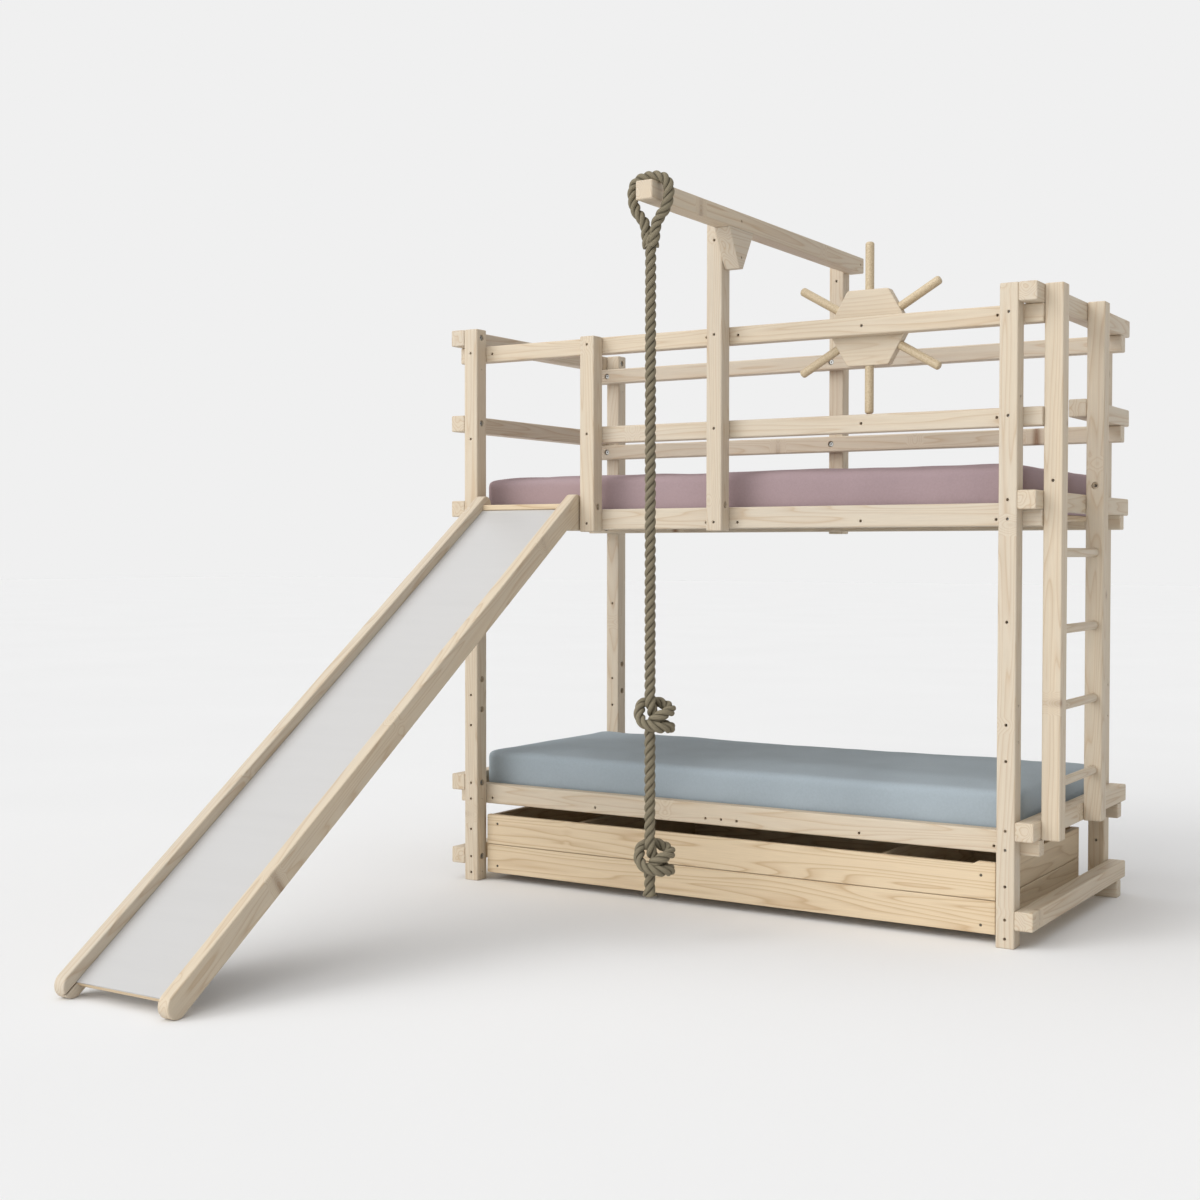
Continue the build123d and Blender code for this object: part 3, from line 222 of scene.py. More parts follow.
def planed_spruce(name, grain, light, dark, knot, rings=19.0, contrast=0.5, knots=1.0):
    """Spruce, planed and oiled: pale early wood, thin amber late wood lines, silky fibres and round knots.

    The rings are the level lines of a noise that is drawn out along the grain, about 8 mm apart on a face.
    """
    material, tree = new_material(name)
    coords = add(tree, "ShaderNodeTexCoord")
    piece = add(tree, "ShaderNodeObjectInfo")
    turned = add(tree, "ShaderNodeMapping", inputs={"Vector": coords.outputs["Object"], "Rotation": GRAIN_TURNS[grain]})
    place = add(tree, "ShaderNodeVectorMath", {"operation": "MULTIPLY_ADD"},
                {0: piece.outputs["Random"], 1: (17.3, 9.1, 13.7), 2: turned.outputs[0]})
    drawn = add(tree, "ShaderNodeVectorMath", {"operation": "MULTIPLY"}, {0: place.outputs[0], 1: (0.55, 9.5, 9.5)})
    body = add(tree, "ShaderNodeTexNoise", inputs={"Vector": drawn.outputs[0], "Scale": 1.0, "Detail": 2.0,
                                                   "Roughness": 0.42})
    # Knots run through the thickness of a board; their middles are the cells of a drawn-out Voronoi
    cells = (2.1, 9.0, 1.6)
    spread = add(tree, "ShaderNodeVectorMath", {"operation": "MULTIPLY"}, {0: place.outputs[0], 1: cells})
    middles = add(tree, "ShaderNodeTexVoronoi", inputs={"Vector": spread.outputs[0], "Scale": 1.0})
    away = add(tree, "ShaderNodeVectorMath", {"operation": "SUBTRACT"},
               {0: middles.outputs["Position"], 1: spread.outputs[0]})
    real = add(tree, "ShaderNodeVectorMath", {"operation": "MULTIPLY"},
               {0: away.outputs[0], 1: (0.72 / cells[0], 1.0 / cells[1], 0.1 / cells[2])})
    reach = add(tree, "ShaderNodeVectorMath", {"operation": "LENGTH"}, {0: real.outputs[0]})
    distance = reach.outputs["Value"]
    halo = add(tree, "ShaderNodeMapRange", {"interpolation_type": "SMOOTHSTEP"},
               {"Value": distance, "From Min": 0.030, "From Max": 0.0, "To Min": 0.0, "To Max": 0.32 * knots})
    bent = add(tree, "ShaderNodeMath", {"operation": "ADD"}, {0: body.outputs["Fac"], 1: halo.outputs[0]})
    levels = add(tree, "ShaderNodeMath", {"operation": "MULTIPLY"}, {0: bent.outputs[0], 1: rings})
    ring = add(tree, "ShaderNodeMath", {"operation": "FRACT"}, {0: levels.outputs[0]})
    profile = stops(add(tree, "ShaderNodeValToRGB", inputs={"Fac": ring.outputs[0]}),
                    (0.0, 0.25), (0.08, 0.04), (0.45, 0.0), (0.80, 0.42), (0.93, 1.0), (1.0, 0.25))
    # Fibres: 1.5 mm wide and 90 mm long
    combed = add(tree, "ShaderNodeVectorMath", {"operation": "MULTIPLY"},
                 {0: place.outputs[0], 1: (11.0, 650.0, 650.0)})
    fibre = add(tree, "ShaderNodeTexNoise", inputs={"Vector": combed.outputs[0], "Scale": 1.0, "Detail": 3.0,
                                                    "Roughness": 0.6})
    broad = add(tree, "ShaderNodeTexNoise", inputs={"Vector": drawn.outputs[0], "Scale": 2.7, "Detail": 1.0})
    tone = add(tree, "ShaderNodeMath", {"operation": "MULTIPLY_ADD"},
               {0: piece.outputs["Random"], 1: 0.28, 2: -0.10})
    warmth = add(tree, "ShaderNodeMath", {"operation": "MULTIPLY_ADD", "use_clamp": True},
                 {0: broad.outputs["Fac"], 1: 0.42, 2: tone.outputs[0]})
    lines = add(tree, "ShaderNodeMath", {"operation": "MULTIPLY"}, {0: profile.outputs[0], 1: contrast})
    streaks = add(tree, "ShaderNodeMapRange", inputs={"Value": fibre.outputs["Fac"], "From Min": 0.3, "From Max": 0.7,
                                                      "To Min": 0.93, "To Max": 1.05})
    ground = add(tree, "ShaderNodeMix", {"data_type": "RGBA"}, {"Factor": warmth.outputs[0], 6: rgba(light),
                                                                7: rgba(knot[1])})
    ringed = add(tree, "ShaderNodeMix", {"data_type": "RGBA"}, {"Factor": lines.outputs[0], 6: ground.outputs[2],
                                                                7: rgba(dark)})
    silky = add(tree, "ShaderNodeVectorMath", {"operation": "SCALE"},
                {0: ringed.outputs[2], "Scale": streaks.outputs[0]})
    heart = stops(add(tree, "ShaderNodeValToRGB", inputs={"Fac": distance}),
                  (0.0, 0.72 * knots), (0.0045, 0.80 * knots), (0.0062, 0.95 * knots), (0.0085, 0.30 * knots),
                  (0.016, 0.0))
    knotted = add(tree, "ShaderNodeMix", {"data_type": "RGBA"}, {"Factor": heart.outputs[0], 6: silky.outputs[0],
                                                                 7: rgba(knot[0])})
    rough = add(tree, "ShaderNodeMapRange", inputs={"Value": fibre.outputs["Fac"], "To Min": 0.44, "To Max": 0.66})
    relief = add(tree, "ShaderNodeMath", {"operation": "MULTIPLY_ADD"},
                 {0: fibre.outputs["Fac"], 1: 0.6, 2: lines.outputs[0]})
    # Eased edges: the planed corners catch a soft line of light
    eased = add(tree, "ShaderNodeBevel", {"samples": 6}, {"Radius": 4.5 * MM})
    bump = add(tree, "ShaderNodeBump", inputs={"Strength": 0.35, "Distance": 0.25 * MM, "Height": relief.outputs[0],
                                               "Normal": eased.outputs[0]})
    shader = add(tree, "ShaderNodeBsdfPrincipled", inputs={
        "Base Color": knotted.outputs[2], "Roughness": rough.outputs[0], "Normal": bump.outputs[0],
        "Specular IOR Level": 0.4, "IOR": 1.45})
    finish_material(tree, shader)
    return material


def turned_beech(name):
    """Beech, turned and sanded: even and pale with short darker flecks."""
    material, tree = new_material(name)
    coords = add(tree, "ShaderNodeTexCoord")
    flecks = add(tree, "ShaderNodeTexNoise", inputs={"Vector": coords.outputs["Object"], "Scale": 240.0, "Detail": 3.0})
    tone = stops(add(tree, "ShaderNodeValToRGB", inputs={"Fac": flecks.outputs["Fac"]}),
                 (0.35, linear("b5a283")), (0.6, linear("c8b697")))
    shader = add(tree, "ShaderNodeBsdfPrincipled", inputs={"Base Color": tone.outputs[0], "Roughness": 0.42})
    finish_material(tree, shader)
    return material


def white_laminate(name, colour):
    """Laminate with a satin face: faint mottling and long scuffs down the slope."""
    material, tree = new_material(name)
    coords = add(tree, "ShaderNodeTexCoord")
    turned = add(tree, "ShaderNodeMapping", inputs={
        "Vector": coords.outputs["Object"], "Rotation": GRAIN_TURNS["slope"], "Scale": (0.8, 12.0, 12.0)})
    scuffs = add(tree, "ShaderNodeTexNoise", inputs={"Vector": turned.outputs[0], "Scale": 1.6, "Detail": 4.0,
                                                     "Roughness": 0.65})
    darker = [part * 0.975 for part in colour]
    tone = stops(add(tree, "ShaderNodeValToRGB", inputs={"Fac": scuffs.outputs["Fac"]}),
                 (0.3, darker), (0.6, list(colour)))
    rough = add(tree, "ShaderNodeMapRange", inputs={"Value": scuffs.outputs["Fac"], "To Min": 0.30, "To Max": 0.38})
    shader = add(tree, "ShaderNodeBsdfPrincipled", inputs={
        "Base Color": tone.outputs[0], "Roughness": rough.outputs[0]})
    finish_material(tree, shader)
    return material


def woven_cotton(name, colour):
    """Cotton canvas, piece dyed: matt, with a plain weave that is drawn 2 mm wide so that it can show."""
    material, tree = new_material(name)
    coords = add(tree, "ShaderNodeTexCoord")
    apart = add(tree, "ShaderNodeSeparateXYZ", inputs={0: coords.outputs["Object"]})
    threads = []
    for axis in range(3):
        phase = add(tree, "ShaderNodeMath", {"operation": "MULTIPLY"}, {0: apart.outputs[axis], 1: math.pi / MM})
        threads.append(add(tree, "ShaderNodeMath", {"operation": "SINE"}, {0: phase.outputs[0]}))
    first = add(tree, "ShaderNodeMath", {"operation": "MULTIPLY"}, {0: threads[0].outputs[0], 1: threads[1].outputs[0]})
    second = add(tree, "ShaderNodeMath", {"operation": "MULTIPLY"},
                 {0: threads[0].outputs[0], 1: threads[2].outputs[0]})
    weave = add(tree, "ShaderNodeMath", {"operation": "ADD"}, {0: first.outputs[0], 1: second.outputs[0]})
    slubs = add(tree, "ShaderNodeTexNoise", inputs={"Vector": coords.outputs["Object"], "Scale": 160.0, "Detail": 4.0})
    cloudy = add(tree, "ShaderNodeTexNoise", inputs={"Vector": coords.outputs["Object"], "Scale": 3.2, "Detail": 2.0})
    mixed = add(tree, "ShaderNodeMath", {"operation": "MULTIPLY_ADD"},
                {0: slubs.outputs["Fac"], 1: 0.5, 2: cloudy.outputs["Fac"]})
    tone = stops(add(tree, "ShaderNodeValToRGB", inputs={"Fac": mixed.outputs[0]}),
                 (0.5, [part * 0.90 for part in colour]), (0.95, [min(part * 1.05, 1.0) for part in colour]))
    height = add(tree, "ShaderNodeMath", {"operation": "MULTIPLY_ADD"},
                 {0: weave.outputs[0], 1: 0.5, 2: slubs.outputs["Fac"]})
    bump = add(tree, "ShaderNodeBump", inputs={"Strength": 0.3, "Distance": 0.3 * MM, "Height": height.outputs[0]})
    shader = add(tree, "ShaderNodeBsdfPrincipled", inputs={
        "Base Color": tone.outputs[0], "Roughness": 0.92, "Specular IOR Level": 0.08, "Normal": bump.outputs[0]})
    finish_material(tree, shader)
    return material


def laid_hemp(name, colour):
    """Hemp, spun and laid: dull yarns that run slantwise over each strand, with painted shade in the grooves between
    them.
    """
    material, tree = new_material(name)
    route = add(tree, "ShaderNodeUVMap", {"uv_map": "yarns"})
    apart = add(tree, "ShaderNodeSeparateXYZ", inputs={0: route.outputs[0]})
    # Nine yarns show round a strand, one turn in 40 mm
    along = add(tree, "ShaderNodeMath", {"operation": "MULTIPLY"}, {0: apart.outputs[1], 1: 25.0})
    phase = add(tree, "ShaderNodeMath", {"operation": "MULTIPLY_ADD"},
                {0: apart.outputs[0], 1: 9.0, 2: along.outputs[0]})
    angle = add(tree, "ShaderNodeMath", {"operation": "MULTIPLY"}, {0: phase.outputs[0], 1: 2 * math.pi})
    yarn = add(tree, "ShaderNodeMath", {"operation": "SINE"}, {0: angle.outputs[0]})
    coords = add(tree, "ShaderNodeTexCoord")
    fibres = add(tree, "ShaderNodeTexNoise", inputs={"Vector": coords.outputs["Object"], "Scale": 420.0, "Detail": 4.0,
                                                     "Roughness": 0.7})
    mixed = add(tree, "ShaderNodeMath", {"operation": "MULTIPLY_ADD"},
                {0: yarn.outputs[0], 1: 0.14, 2: fibres.outputs["Fac"]})
    # painted shade: the mark from the rope's mesh darkens each strand towards the grooves
    groove_shade = add(tree, "ShaderNodeAttribute", {"attribute_name": "groove_shade"})
    lit = add(tree, "ShaderNodeMath", {"operation": "SUBTRACT"}, {0: mixed.outputs[0], 1: groove_shade.outputs["Fac"]})
    tone = stops(add(tree, "ShaderNodeValToRGB", inputs={"Fac": lit.outputs[0]}),
                 (0.0, [part * 0.30 for part in colour]), (0.32, [part * 0.72 for part in colour]),
                 (0.62, [part * 1.12 for part in colour]))
    bump = add(tree, "ShaderNodeBump", inputs={"Strength": 0.7, "Distance": 0.6 * MM, "Height": mixed.outputs[0]})
    shader = add(tree, "ShaderNodeBsdfPrincipled", inputs={
        "Base Color": tone.outputs[0], "Roughness": 0.9, "Specular IOR Level": 0.2, "Normal": bump.outputs[0]})
    finish_material(tree, shader)
    return material


def zinc_plated(name, colour):
    """Steel, zinc plated: cool grey with cloudy bright patches."""
    material, tree = new_material(name)
    coords = add(tree, "ShaderNodeTexCoord")
    patches = add(tree, "ShaderNodeTexNoise", inputs={
        "Vector": coords.outputs["Object"], "Scale": 160.0, "Detail": 3.0})
    tone = stops(add(tree, "ShaderNodeValToRGB", inputs={"Fac": patches.outputs["Fac"]}),
                 (0.35, [part * 0.75 for part in colour]), (0.65, colour))
    rough = add(tree, "ShaderNodeMapRange", inputs={"Value": patches.outputs["Fac"], "To Min": 0.28, "To Max": 0.5})
    shader = add(tree, "ShaderNodeBsdfPrincipled", inputs={
        "Base Color": tone.outputs[0], "Metallic": 1.0, "Roughness": rough.outputs[0]})
    finish_material(tree, shader)
    return material


def moulded_rubber(name, colour, roughness):
    """Rubber or stoved paint: dark and even, with a fine pebbled face."""
    material, tree = new_material(name)
    coords = add(tree, "ShaderNodeTexCoord")
    pebbles = add(tree, "ShaderNodeTexNoise", inputs={
        "Vector": coords.outputs["Object"], "Scale": 900.0, "Detail": 2.0})
    tone = stops(add(tree, "ShaderNodeValToRGB", inputs={"Fac": pebbles.outputs["Fac"]}),
                 (0.3, [part * 0.8 for part in colour]), (0.7, [part * 1.2 for part in colour]))
    bump = add(tree, "ShaderNodeBump", inputs={"Strength": 0.2, "Distance": 0.2 * MM, "Height": pebbles.outputs["Fac"]})
    shader = add(tree, "ShaderNodeBsdfPrincipled", inputs={
        "Base Color": tone.outputs[0], "Roughness": roughness, "Normal": bump.outputs[0]})
    finish_material(tree, shader)
    return material


def mesh_object(name, mesh, *materials):
    for material in materials:
        mesh.materials.append(material)
    piece = bpy.data.objects.new(name, mesh)
    bpy.context.scene.collection.objects.link(piece)
    return piece


def smooth(mesh):
    mesh.polygons.foreach_set("use_smooth", [True] * len(mesh.polygons))


def dress(slot, material):
    """Give a material to every frame node of one slot of the record."""
    names = [part["node"] for part in frame["record"]["subparts"] if part["material_slot"] == slot]
    if not names:
        raise RuntimeError(f"no node has the slot {slot}")
    for name in names:
        for place in frame["nodes"][name].material_slots:
            place.material = material


class BED_OT_timber(bpy.types.Operator):
    """Dress posts, rails, beams, planks and slats in planed wood, with the grain along each piece"""
    bl_idname = "bed.timber"
    bl_label = "Timber"

    def execute(self, context):
        colours = context.scene.bed_colours
        pale, warm, late = list(colours.timber), list(colours.timber_warm), list(colours.latewood)
        knot = (list(colours.knot), warm)
        grain = {
            "spruce_upright": ("upright", pale, 24.0, 0.38, 1.0),
            "spruce_long": ("along", pale, 23.0, 0.40, 1.0),
            "spruce_cross": ("across", pale, 23.0, 0.50, 0.8),
            "spruce_slide": ("slope", pale, 24.0, 0.40, 0.8),
            "spruce_plank": ("along", warm, 17.0, 0.55, 0.15),
            "spruce_side": ("across", warm, 17.0, 0.50, 0.15),
            "spruce_batten": ("upright", warm, 19.0, 0.5, 0.5),
            "slat_wood": ("across", warm, 17.0, 0.5, 1.0),
            "steering_wood": ("along", pale, 22.0, 0.30, 0.0),
            "drawer_plywood": ("along", warm, 8.0, 0.4, 0.3),
        }
        for slot, (direction, light, rings, contrast, knots) in grain.items():
            dress(slot, planed_spruce(f"planed {slot}", direction, light, late, knot, rings, contrast, knots))
        dress("beech", turned_beech("turned beech"))
        return {"FINISHED"}


class BED_OT_slide_face(bpy.types.Operator):
    """Dress the slide's sliding surface in white laminate"""
    bl_idname = "bed.slide_face"
    bl_label = "Slide face"

    def execute(self, context):
        dress("slide_laminate", white_laminate("white laminate", list(context.scene.bed_colours.laminate)))
        return {"FINISHED"}


class BED_OT_castors(bpy.types.Operator):
    """Dress the drawer's castors in painted steel and rubber"""
    bl_idname = "bed.castors"
    bl_label = "Castors"

    def execute(self, context):
        dress("castor_steel", moulded_rubber("stoved castor steel", linear("3a3a3c"), 0.4))
        dress("castor_rubber", moulded_rubber("castor rubber", linear("232323"), 0.75))
        return {"FINISHED"}


def padded_block(low, high, sizes, seed):
    """Closed mattress form: rolled edges, crowned top, drawn-in sides and soft waves."""
    half = (high - low) / 2
    middle = (high + low) / 2
    half = Vector((half.x, half.y, half.z - sizes.crown / 2))
    counts = [max(4, round(2 * half[axis] / sizes.grid)) for axis in range(3)]
    block = bmesh.new()
    index = {}

    def corner(cell):
        if cell not in index:
            spot = Vector([-half[axis] + 2 * half[axis] * cell[axis] / counts[axis] for axis in range(3)])
            index[cell] = block.verts.new(spot)
        return index[cell]

    for axis in range(3):
        one, two = (axis + 1) % 3, (axis + 2) % 3
        for end in (0, counts[axis]):
            for u in range(counts[one]):
                for v in range(counts[two]):
                    ring = []
                    for step_u, step_v in ((0, 0), (1, 0), (1, 1), (0, 1)):
                        cell = [0, 0, 0]
                        cell[axis], cell[one], cell[two] = end, u + step_u, v + step_v
                        ring.append(corner(tuple(cell)))
                    block.faces.new(ring if end else ring[::-1])
    for vert in block.verts:
        spot = vert.co
        # upright corners first, then the rolled edges
        flat = Vector((spot.x, spot.y))
        core = Vector((max(-half.x + sizes.corner, min(half.x - sizes.corner, spot.x)),
                       max(-half.y + sizes.corner, min(half.y - sizes.corner, spot.y))))
        out = flat - core
        side = max(abs(out.x), abs(out.y)) / sizes.corner
        if side > 0 and out.length > 0:
            out = out.normalized() * sizes.corner * side
        inset = sizes.corner * (1 - side)
        z_core = max(-half.z + sizes.roll, min(half.z - sizes.roll, spot.z))
        lift = (spot.z - z_core) / sizes.roll
        if abs(lift) > 0:
            along_edge = max(0.0, 1 - inset / sizes.roll)
            reach = max(abs(lift), along_edge)
            length = math.hypot(lift, along_edge) or 1.0
            lift_to, edge_to = lift / length * reach, along_edge / length * reach
            pull = (1 - edge_to) * sizes.roll if along_edge > 0 else inset
            out = out.normalized() * max(0.0, sizes.corner - pull) if out.length > 0 and along_edge > 0 else out
            spot_z = z_core + lift_to * sizes.roll
        else:
            spot_z = spot.z
        spot = Vector((core.x + out.x, core.y + out.y, spot_z))
        x, y, z = spot.x / half.x, spot.y / half.y, spot.z / half.z
        dome = max(0.0, 1 - x ** 8) * max(0.0, 1 - y ** 4)
        wave = noise.noise(Vector((spot.x * 2.6, spot.y * 3.4, seed))) + 0.5 * noise.noise(
            Vector((spot.x * 6.5, spot.y * 5.0, seed + 7)))
        if z > 0.3:
            spot.z += sizes.crown * dome + sizes.waves * wave * (0.35 + 0.65 * dome)
        draw = 1 - (1 - z * z) * 3 * MM / 0.4
        spot.y *= draw
        pucker = noise.noise(Vector((spot.x * 9.0, spot.y * 9.0, spot.z * 14.0 + seed)))
        if abs(z) < 0.9:
            spot.y += math.copysign(1.2 * MM * pucker * abs(y) ** 6, y)
            spot.x += math.copysign(1.2 * MM * pucker * abs(x) ** 10, x)
        vert.co = spot + middle - Vector((0, 0, sizes.crown / 2))
    bmesh.ops.remove_doubles(block, verts=block.verts, dist=0.1 * MM)
    bmesh.ops.recalc_face_normals(block, faces=block.faces)
    mesh = bpy.data.meshes.new("cover")
    block.to_mesh(mesh)
    block.free()
    smooth(mesh)
    return mesh


def settle(piece, limit):
    """Move each point towards the cover blown up for twenty frames, by the limit at most.

    The simulation swells much further than the limit, so most points stop at it.
    """
    scene = bpy.context.scene
    before = [vert.co.copy() for vert in piece.data.vertices]
    lowest = min(spot.z for spot in before)
    under = piece.vertex_groups.new(name="under")
    under.add([number for number, spot in enumerate(before) if spot.z < lowest + 3 * MM], 1.0, "REPLACE")
    cloth = piece.modifiers.new("cover", "CLOTH")
    cloth.settings.quality = 5
    cloth.settings.mass = 0.4
    cloth.settings.tension_stiffness = cloth.settings.compression_stiffness = 12
    cloth.settings.bending_stiffness = 1.5
    cloth.settings.use_pressure = True
    cloth.settings.uniform_pressure_force = 4
    cloth.settings.effector_weights.gravity = 0
    cloth.settings.vertex_group_mass = under.name
    cloth.point_cache.frame_start, cloth.point_cache.frame_end = 1, 20
    for number in range(1, 21):
        scene.frame_set(number)
    blown = bpy.data.meshes.new_from_object(piece.evaluated_get(bpy.context.evaluated_depsgraph_get()))
    after = [vert.co.copy() for vert in blown.vertices]
    bpy.data.meshes.remove(blown)
    piece.modifiers.remove(cloth)
    piece.vertex_groups.remove(under)
    scene.frame_set(1)
    if len(after) != len(before):
        raise RuntimeError(f"{piece.name}: the simulation changed the mesh")
    for vert, start, end in zip(piece.data.vertices, before, after):
        move = end - start
        if move.length > limit:
            move *= limit / move.length
        vert.co = start + move


def make_mattress(context, node, colour, slot, seed):
    low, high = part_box(node)
    mesh = padded_block(low, high, context.scene.bed_covers, seed)
    mesh.name = f"{node}_cover"
    piece = mesh_object(f"{node}_cover", mesh, woven_cotton(f"{slot} canvas", colour))
    settle(piece, 7 * MM)
    spots = [vert.co.copy() for vert in mesh.vertices]
    for axis, slack in ((0, 0.0), (1, 0.0), (2, 8 * MM)):
        least, most = min(spot[axis] for spot in spots), max(spot[axis] for spot in spots)
        for vert in mesh.vertices:
            share = (vert.co[axis] - least) / (most - least)
            vert.co[axis] = low[axis] + share * (high[axis] + slack - low[axis])
    fine = piece.modifiers.new("smooth", "SUBSURF")
    fine.levels = fine.render_levels = 1
    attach(piece, "frame")
    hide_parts(node)
    return piece


class BED_OT_upper_mattress(bpy.types.Operator):
    """Make the upper mattress in its mauve cotton cover"""
    bl_idname = "bed.upper_mattress"
    bl_label = "Upper mattress"

    def execute(self, context):
        make_mattress(context, "mattress_upper", list(context.scene.bed_colours.upper_cover), "mauve_cotton", 3.0)
        return {"FINISHED"}


class BED_OT_lower_mattress(bpy.types.Operator):
    """Make the lower mattress in its blue cotton cover"""
    bl_idname = "bed.lower_mattress"
    bl_label = "Lower mattress"

    def execute(self, context):
        make_mattress(context, "mattress_lower", list(context.scene.bed_colours.lower_cover), "blue_cotton", 11.0)
        return {"FINISHED"}


def route_points(name, places):
    """Even points along the smooth line that has these places as its control points."""
    curve = bpy.data.curves.new(name, "CURVE")
    curve.dimensions = "3D"
    curve.resolution_u = 32
    spline = curve.splines.new("NURBS")
    spline.points.add(len(places) - 1)
    for point, place in zip(spline.points, places):
        point.co = (*place, 1.0)
    spline.order_u = 3
    spline.use_endpoint_u = True
    holder = bpy.data.objects.new(name, curve)
    bpy.context.scene.collection.objects.link(holder)
    line = bpy.data.meshes.new_from_object(holder.evaluated_get(bpy.context.evaluated_depsgraph_get()))
    points = [vert.co.copy() for vert in line.vertices]
    bpy.data.objects.remove(holder)
    bpy.data.meshes.remove(line)
    return points


def even_steps(points, step):
    """The same line with points a step apart."""
    kept = [points[0].copy()]
    need = step
    for start, end in zip(points, points[1:]):
        run = (end - start).length
        done = 0.0
        while run - done >= need:
            done += need
            kept.append(start.lerp(end, done / run))
            need = step
        need -= run - done
    if (kept[-1] - points[-1]).length > step / 3:
        kept.append(points[-1].copy())
    return kept


def laid_rope(name, points, sizes, flare=1.0):
    """Three strands that turn round the line, each a closed tube with its yarns' map."""
    radius = sizes.diameter / 2
    centre = 0.51 * radius
    tall = 0.49 * radius
    wide = 0.56 * radius
    rope = bmesh.new()
    yarns = rope.loops.layers.uv.new("yarns")
    groove_shade = rope.verts.layers.float.new("groove_shade")
    ahead = (points[1] - points[0]).normalized()
    side = ahead.orthogonal().normalized()
    rings = [[], [], []]
    gone = 0.0
    total = sum((b - a).length for a, b in zip(points, points[1:]))
    for number, point in enumerate(points):
        before, after = points[max(number - 1, 0)], points[min(number + 1, len(points) - 1)]
        direction = (after - before).normalized()
        side = (side - direction * side.dot(direction)).normalized()
        other = direction.cross(side)
        gone += (point - before).length
        spread = 1.0 + (flare - 1.0) * max(0.0, 1 - (total - gone) / (0.7 * sizes.diameter)) ** 1.5
        for strand in range(3):
            turn = 2 * math.pi * (gone / sizes.lay + strand / 3)
            out = side * math.cos(turn) + other * math.sin(turn)
            round_way = other * math.cos(turn) - side * math.sin(turn)
            ring = []
            for corner in range(sizes.sides):
                angle = 2 * math.pi * corner / sizes.sides
                spot = point + spread * (out * (centre + tall * math.cos(angle)) + round_way * wide * math.sin(angle))
                vert = rope.verts.new(spot)
                # painted shade: each strand's side that faces the rope's middle, towards the grooves, is marked for
                # darkening
                vert[groove_shade] = 0.34 * max(0.0, 0.35 - math.cos(angle))
                ring.append(vert)
            rings[strand].append((ring, gone))
    for strand in rings:
        for (first, start), (second, end) in zip(strand, strand[1:]):
            for corner in range(sizes.sides):
                beside = (corner + 1) % sizes.sides
                face = rope.faces.new((first[corner], first[beside], second[beside], second[corner]))
                face.smooth = True
                u, v = corner / sizes.sides, (corner + 1) / sizes.sides
                for loop, value in zip(face.loops, ((u, start), (v, start), (v, end), (u, end))):
                    loop[yarns].uv = value
        for (ring, _), turned in ((strand[0], True), (strand[-1], False)):
            cap = rope.faces.new(ring[::-1] if turned else ring)
            for loop in cap.loops:
                loop[yarns].uv = (0.0, 0.0)
    bmesh.ops.recalc_face_normals(rope, faces=rope.faces)
    mesh = bpy.data.meshes.new(name)
    rope.to_mesh(mesh)
    rope.free()
    return mesh


def rope_place(across, level):
    return Vector(((ROPE_X + across) * MM, ROPE_Y * MM, level * MM))


def knot_place(level, across, behind, up, diameter):
    return Vector((
        ROPE_X * MM + diameter * (across * math.cos(KNOT_FACE) - behind * math.sin(KNOT_FACE)),
        ROPE_Y * MM + diameter * (across * math.sin(KNOT_FACE) + behind * math.cos(KNOT_FACE)),
        level * MM + diameter * up,
    ))


class BED_OT_rope(bpy.types.Operator):
    """Lay the climbing rope: an eye round the crane beam and the hanging line with its two knots"""
    bl_idname = "bed.rope"
    bl_label = "Climbing rope"

    def execute(self, context):
        sizes = context.scene.bed_rope
        hemp = laid_hemp("laid hemp", list(context.scene.bed_colours.rope))
        left = [rope_place(-across, level) for across, level in EYE_HALF_ROUTE]
        right = [rope_place(across, level) for across, level in EYE_HALF_ROUTE]
        eye_line = even_steps(route_points("eye_route", left + right[::-1]), sizes.step)
        eye = mesh_object("rope_eye_strands", laid_rope("rope_eye_strands", eye_line, sizes), hemp)
        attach(eye, "frame")
        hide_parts("rope_eye")
        diameter = sizes.diameter
        route = [rope_place(0, LINE_START), rope_place(0, LINE_START - 6 * diameter / MM)]
        for level in KNOT_LEVELS:
            top = knot_place(level, *KNOT[0], diameter)
            foot = knot_place(level, *KNOT[-1], diameter)
            route.append(top + Vector((0, 0, KNOT_RUN * diameter)))
            route += [knot_place(level, *place, diameter) for place in KNOT]
            if level != KNOT_LEVELS[-1]:
                route.append(foot - Vector((0, 0, KNOT_RUN * diameter)))
        route.append(rope_place(0, LINE_END))
        line_points = even_steps(route_points("line_route", route), sizes.step)
        line = mesh_object("rope_line_strands", laid_rope("rope_line_strands", line_points, sizes, flare=1.35), hemp)
        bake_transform(line)
        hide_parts("rope_neck", "rope_line")
        return {"FINISHED"}


def fasteners(node):
    """Place and direction of each fastener's head, read from the separate bodies in one frame node."""
    mesh = frame["nodes"][node].data
    merged = bmesh.new()
    merged.from_mesh(mesh)
    bmesh.ops.remove_doubles(merged, verts=merged.verts, dist=0.05 * MM)
    merged.verts.ensure_lookup_table()
    seen = set()
    found = []
    for first in merged.verts:
        if first.index in seen:
            continue
        island, todo = [], [first]
        seen.add(first.index)
        while todo:
            vert = todo.pop()
            island.append(vert.co.copy())
            for edge in vert.link_edges:
                other = edge.other_vert(vert)
                if other.index not in seen:
                    seen.add(other.index)
                    todo.append(other)
        low = Vector([min(spot[axis] for spot in island) for axis in range(3)])
        high = Vector([max(spot[axis] for spot in island) for axis in range(3)])
        axis = max(range(3), key=lambda way: high[way] - low[way])
        middle = (low + high) / 2
        widths = []
        for end in (low, high):
            near = [spot for spot in island if abs(spot[axis] - end[axis]) < 2 * MM]
            widths.append(max((spot - middle).length_squared - (spot[axis] - middle[axis]) ** 2 for spot in near))
        facing = Vector((0, 0, 0))
        facing[axis] = 1.0 if widths[1] > widths[0] else -1.0
        place = middle.copy()
        place[axis] = high[axis] if widths[1] > widths[0] else low[axis]
        found.append((place, facing))
    merged.free()
    return found


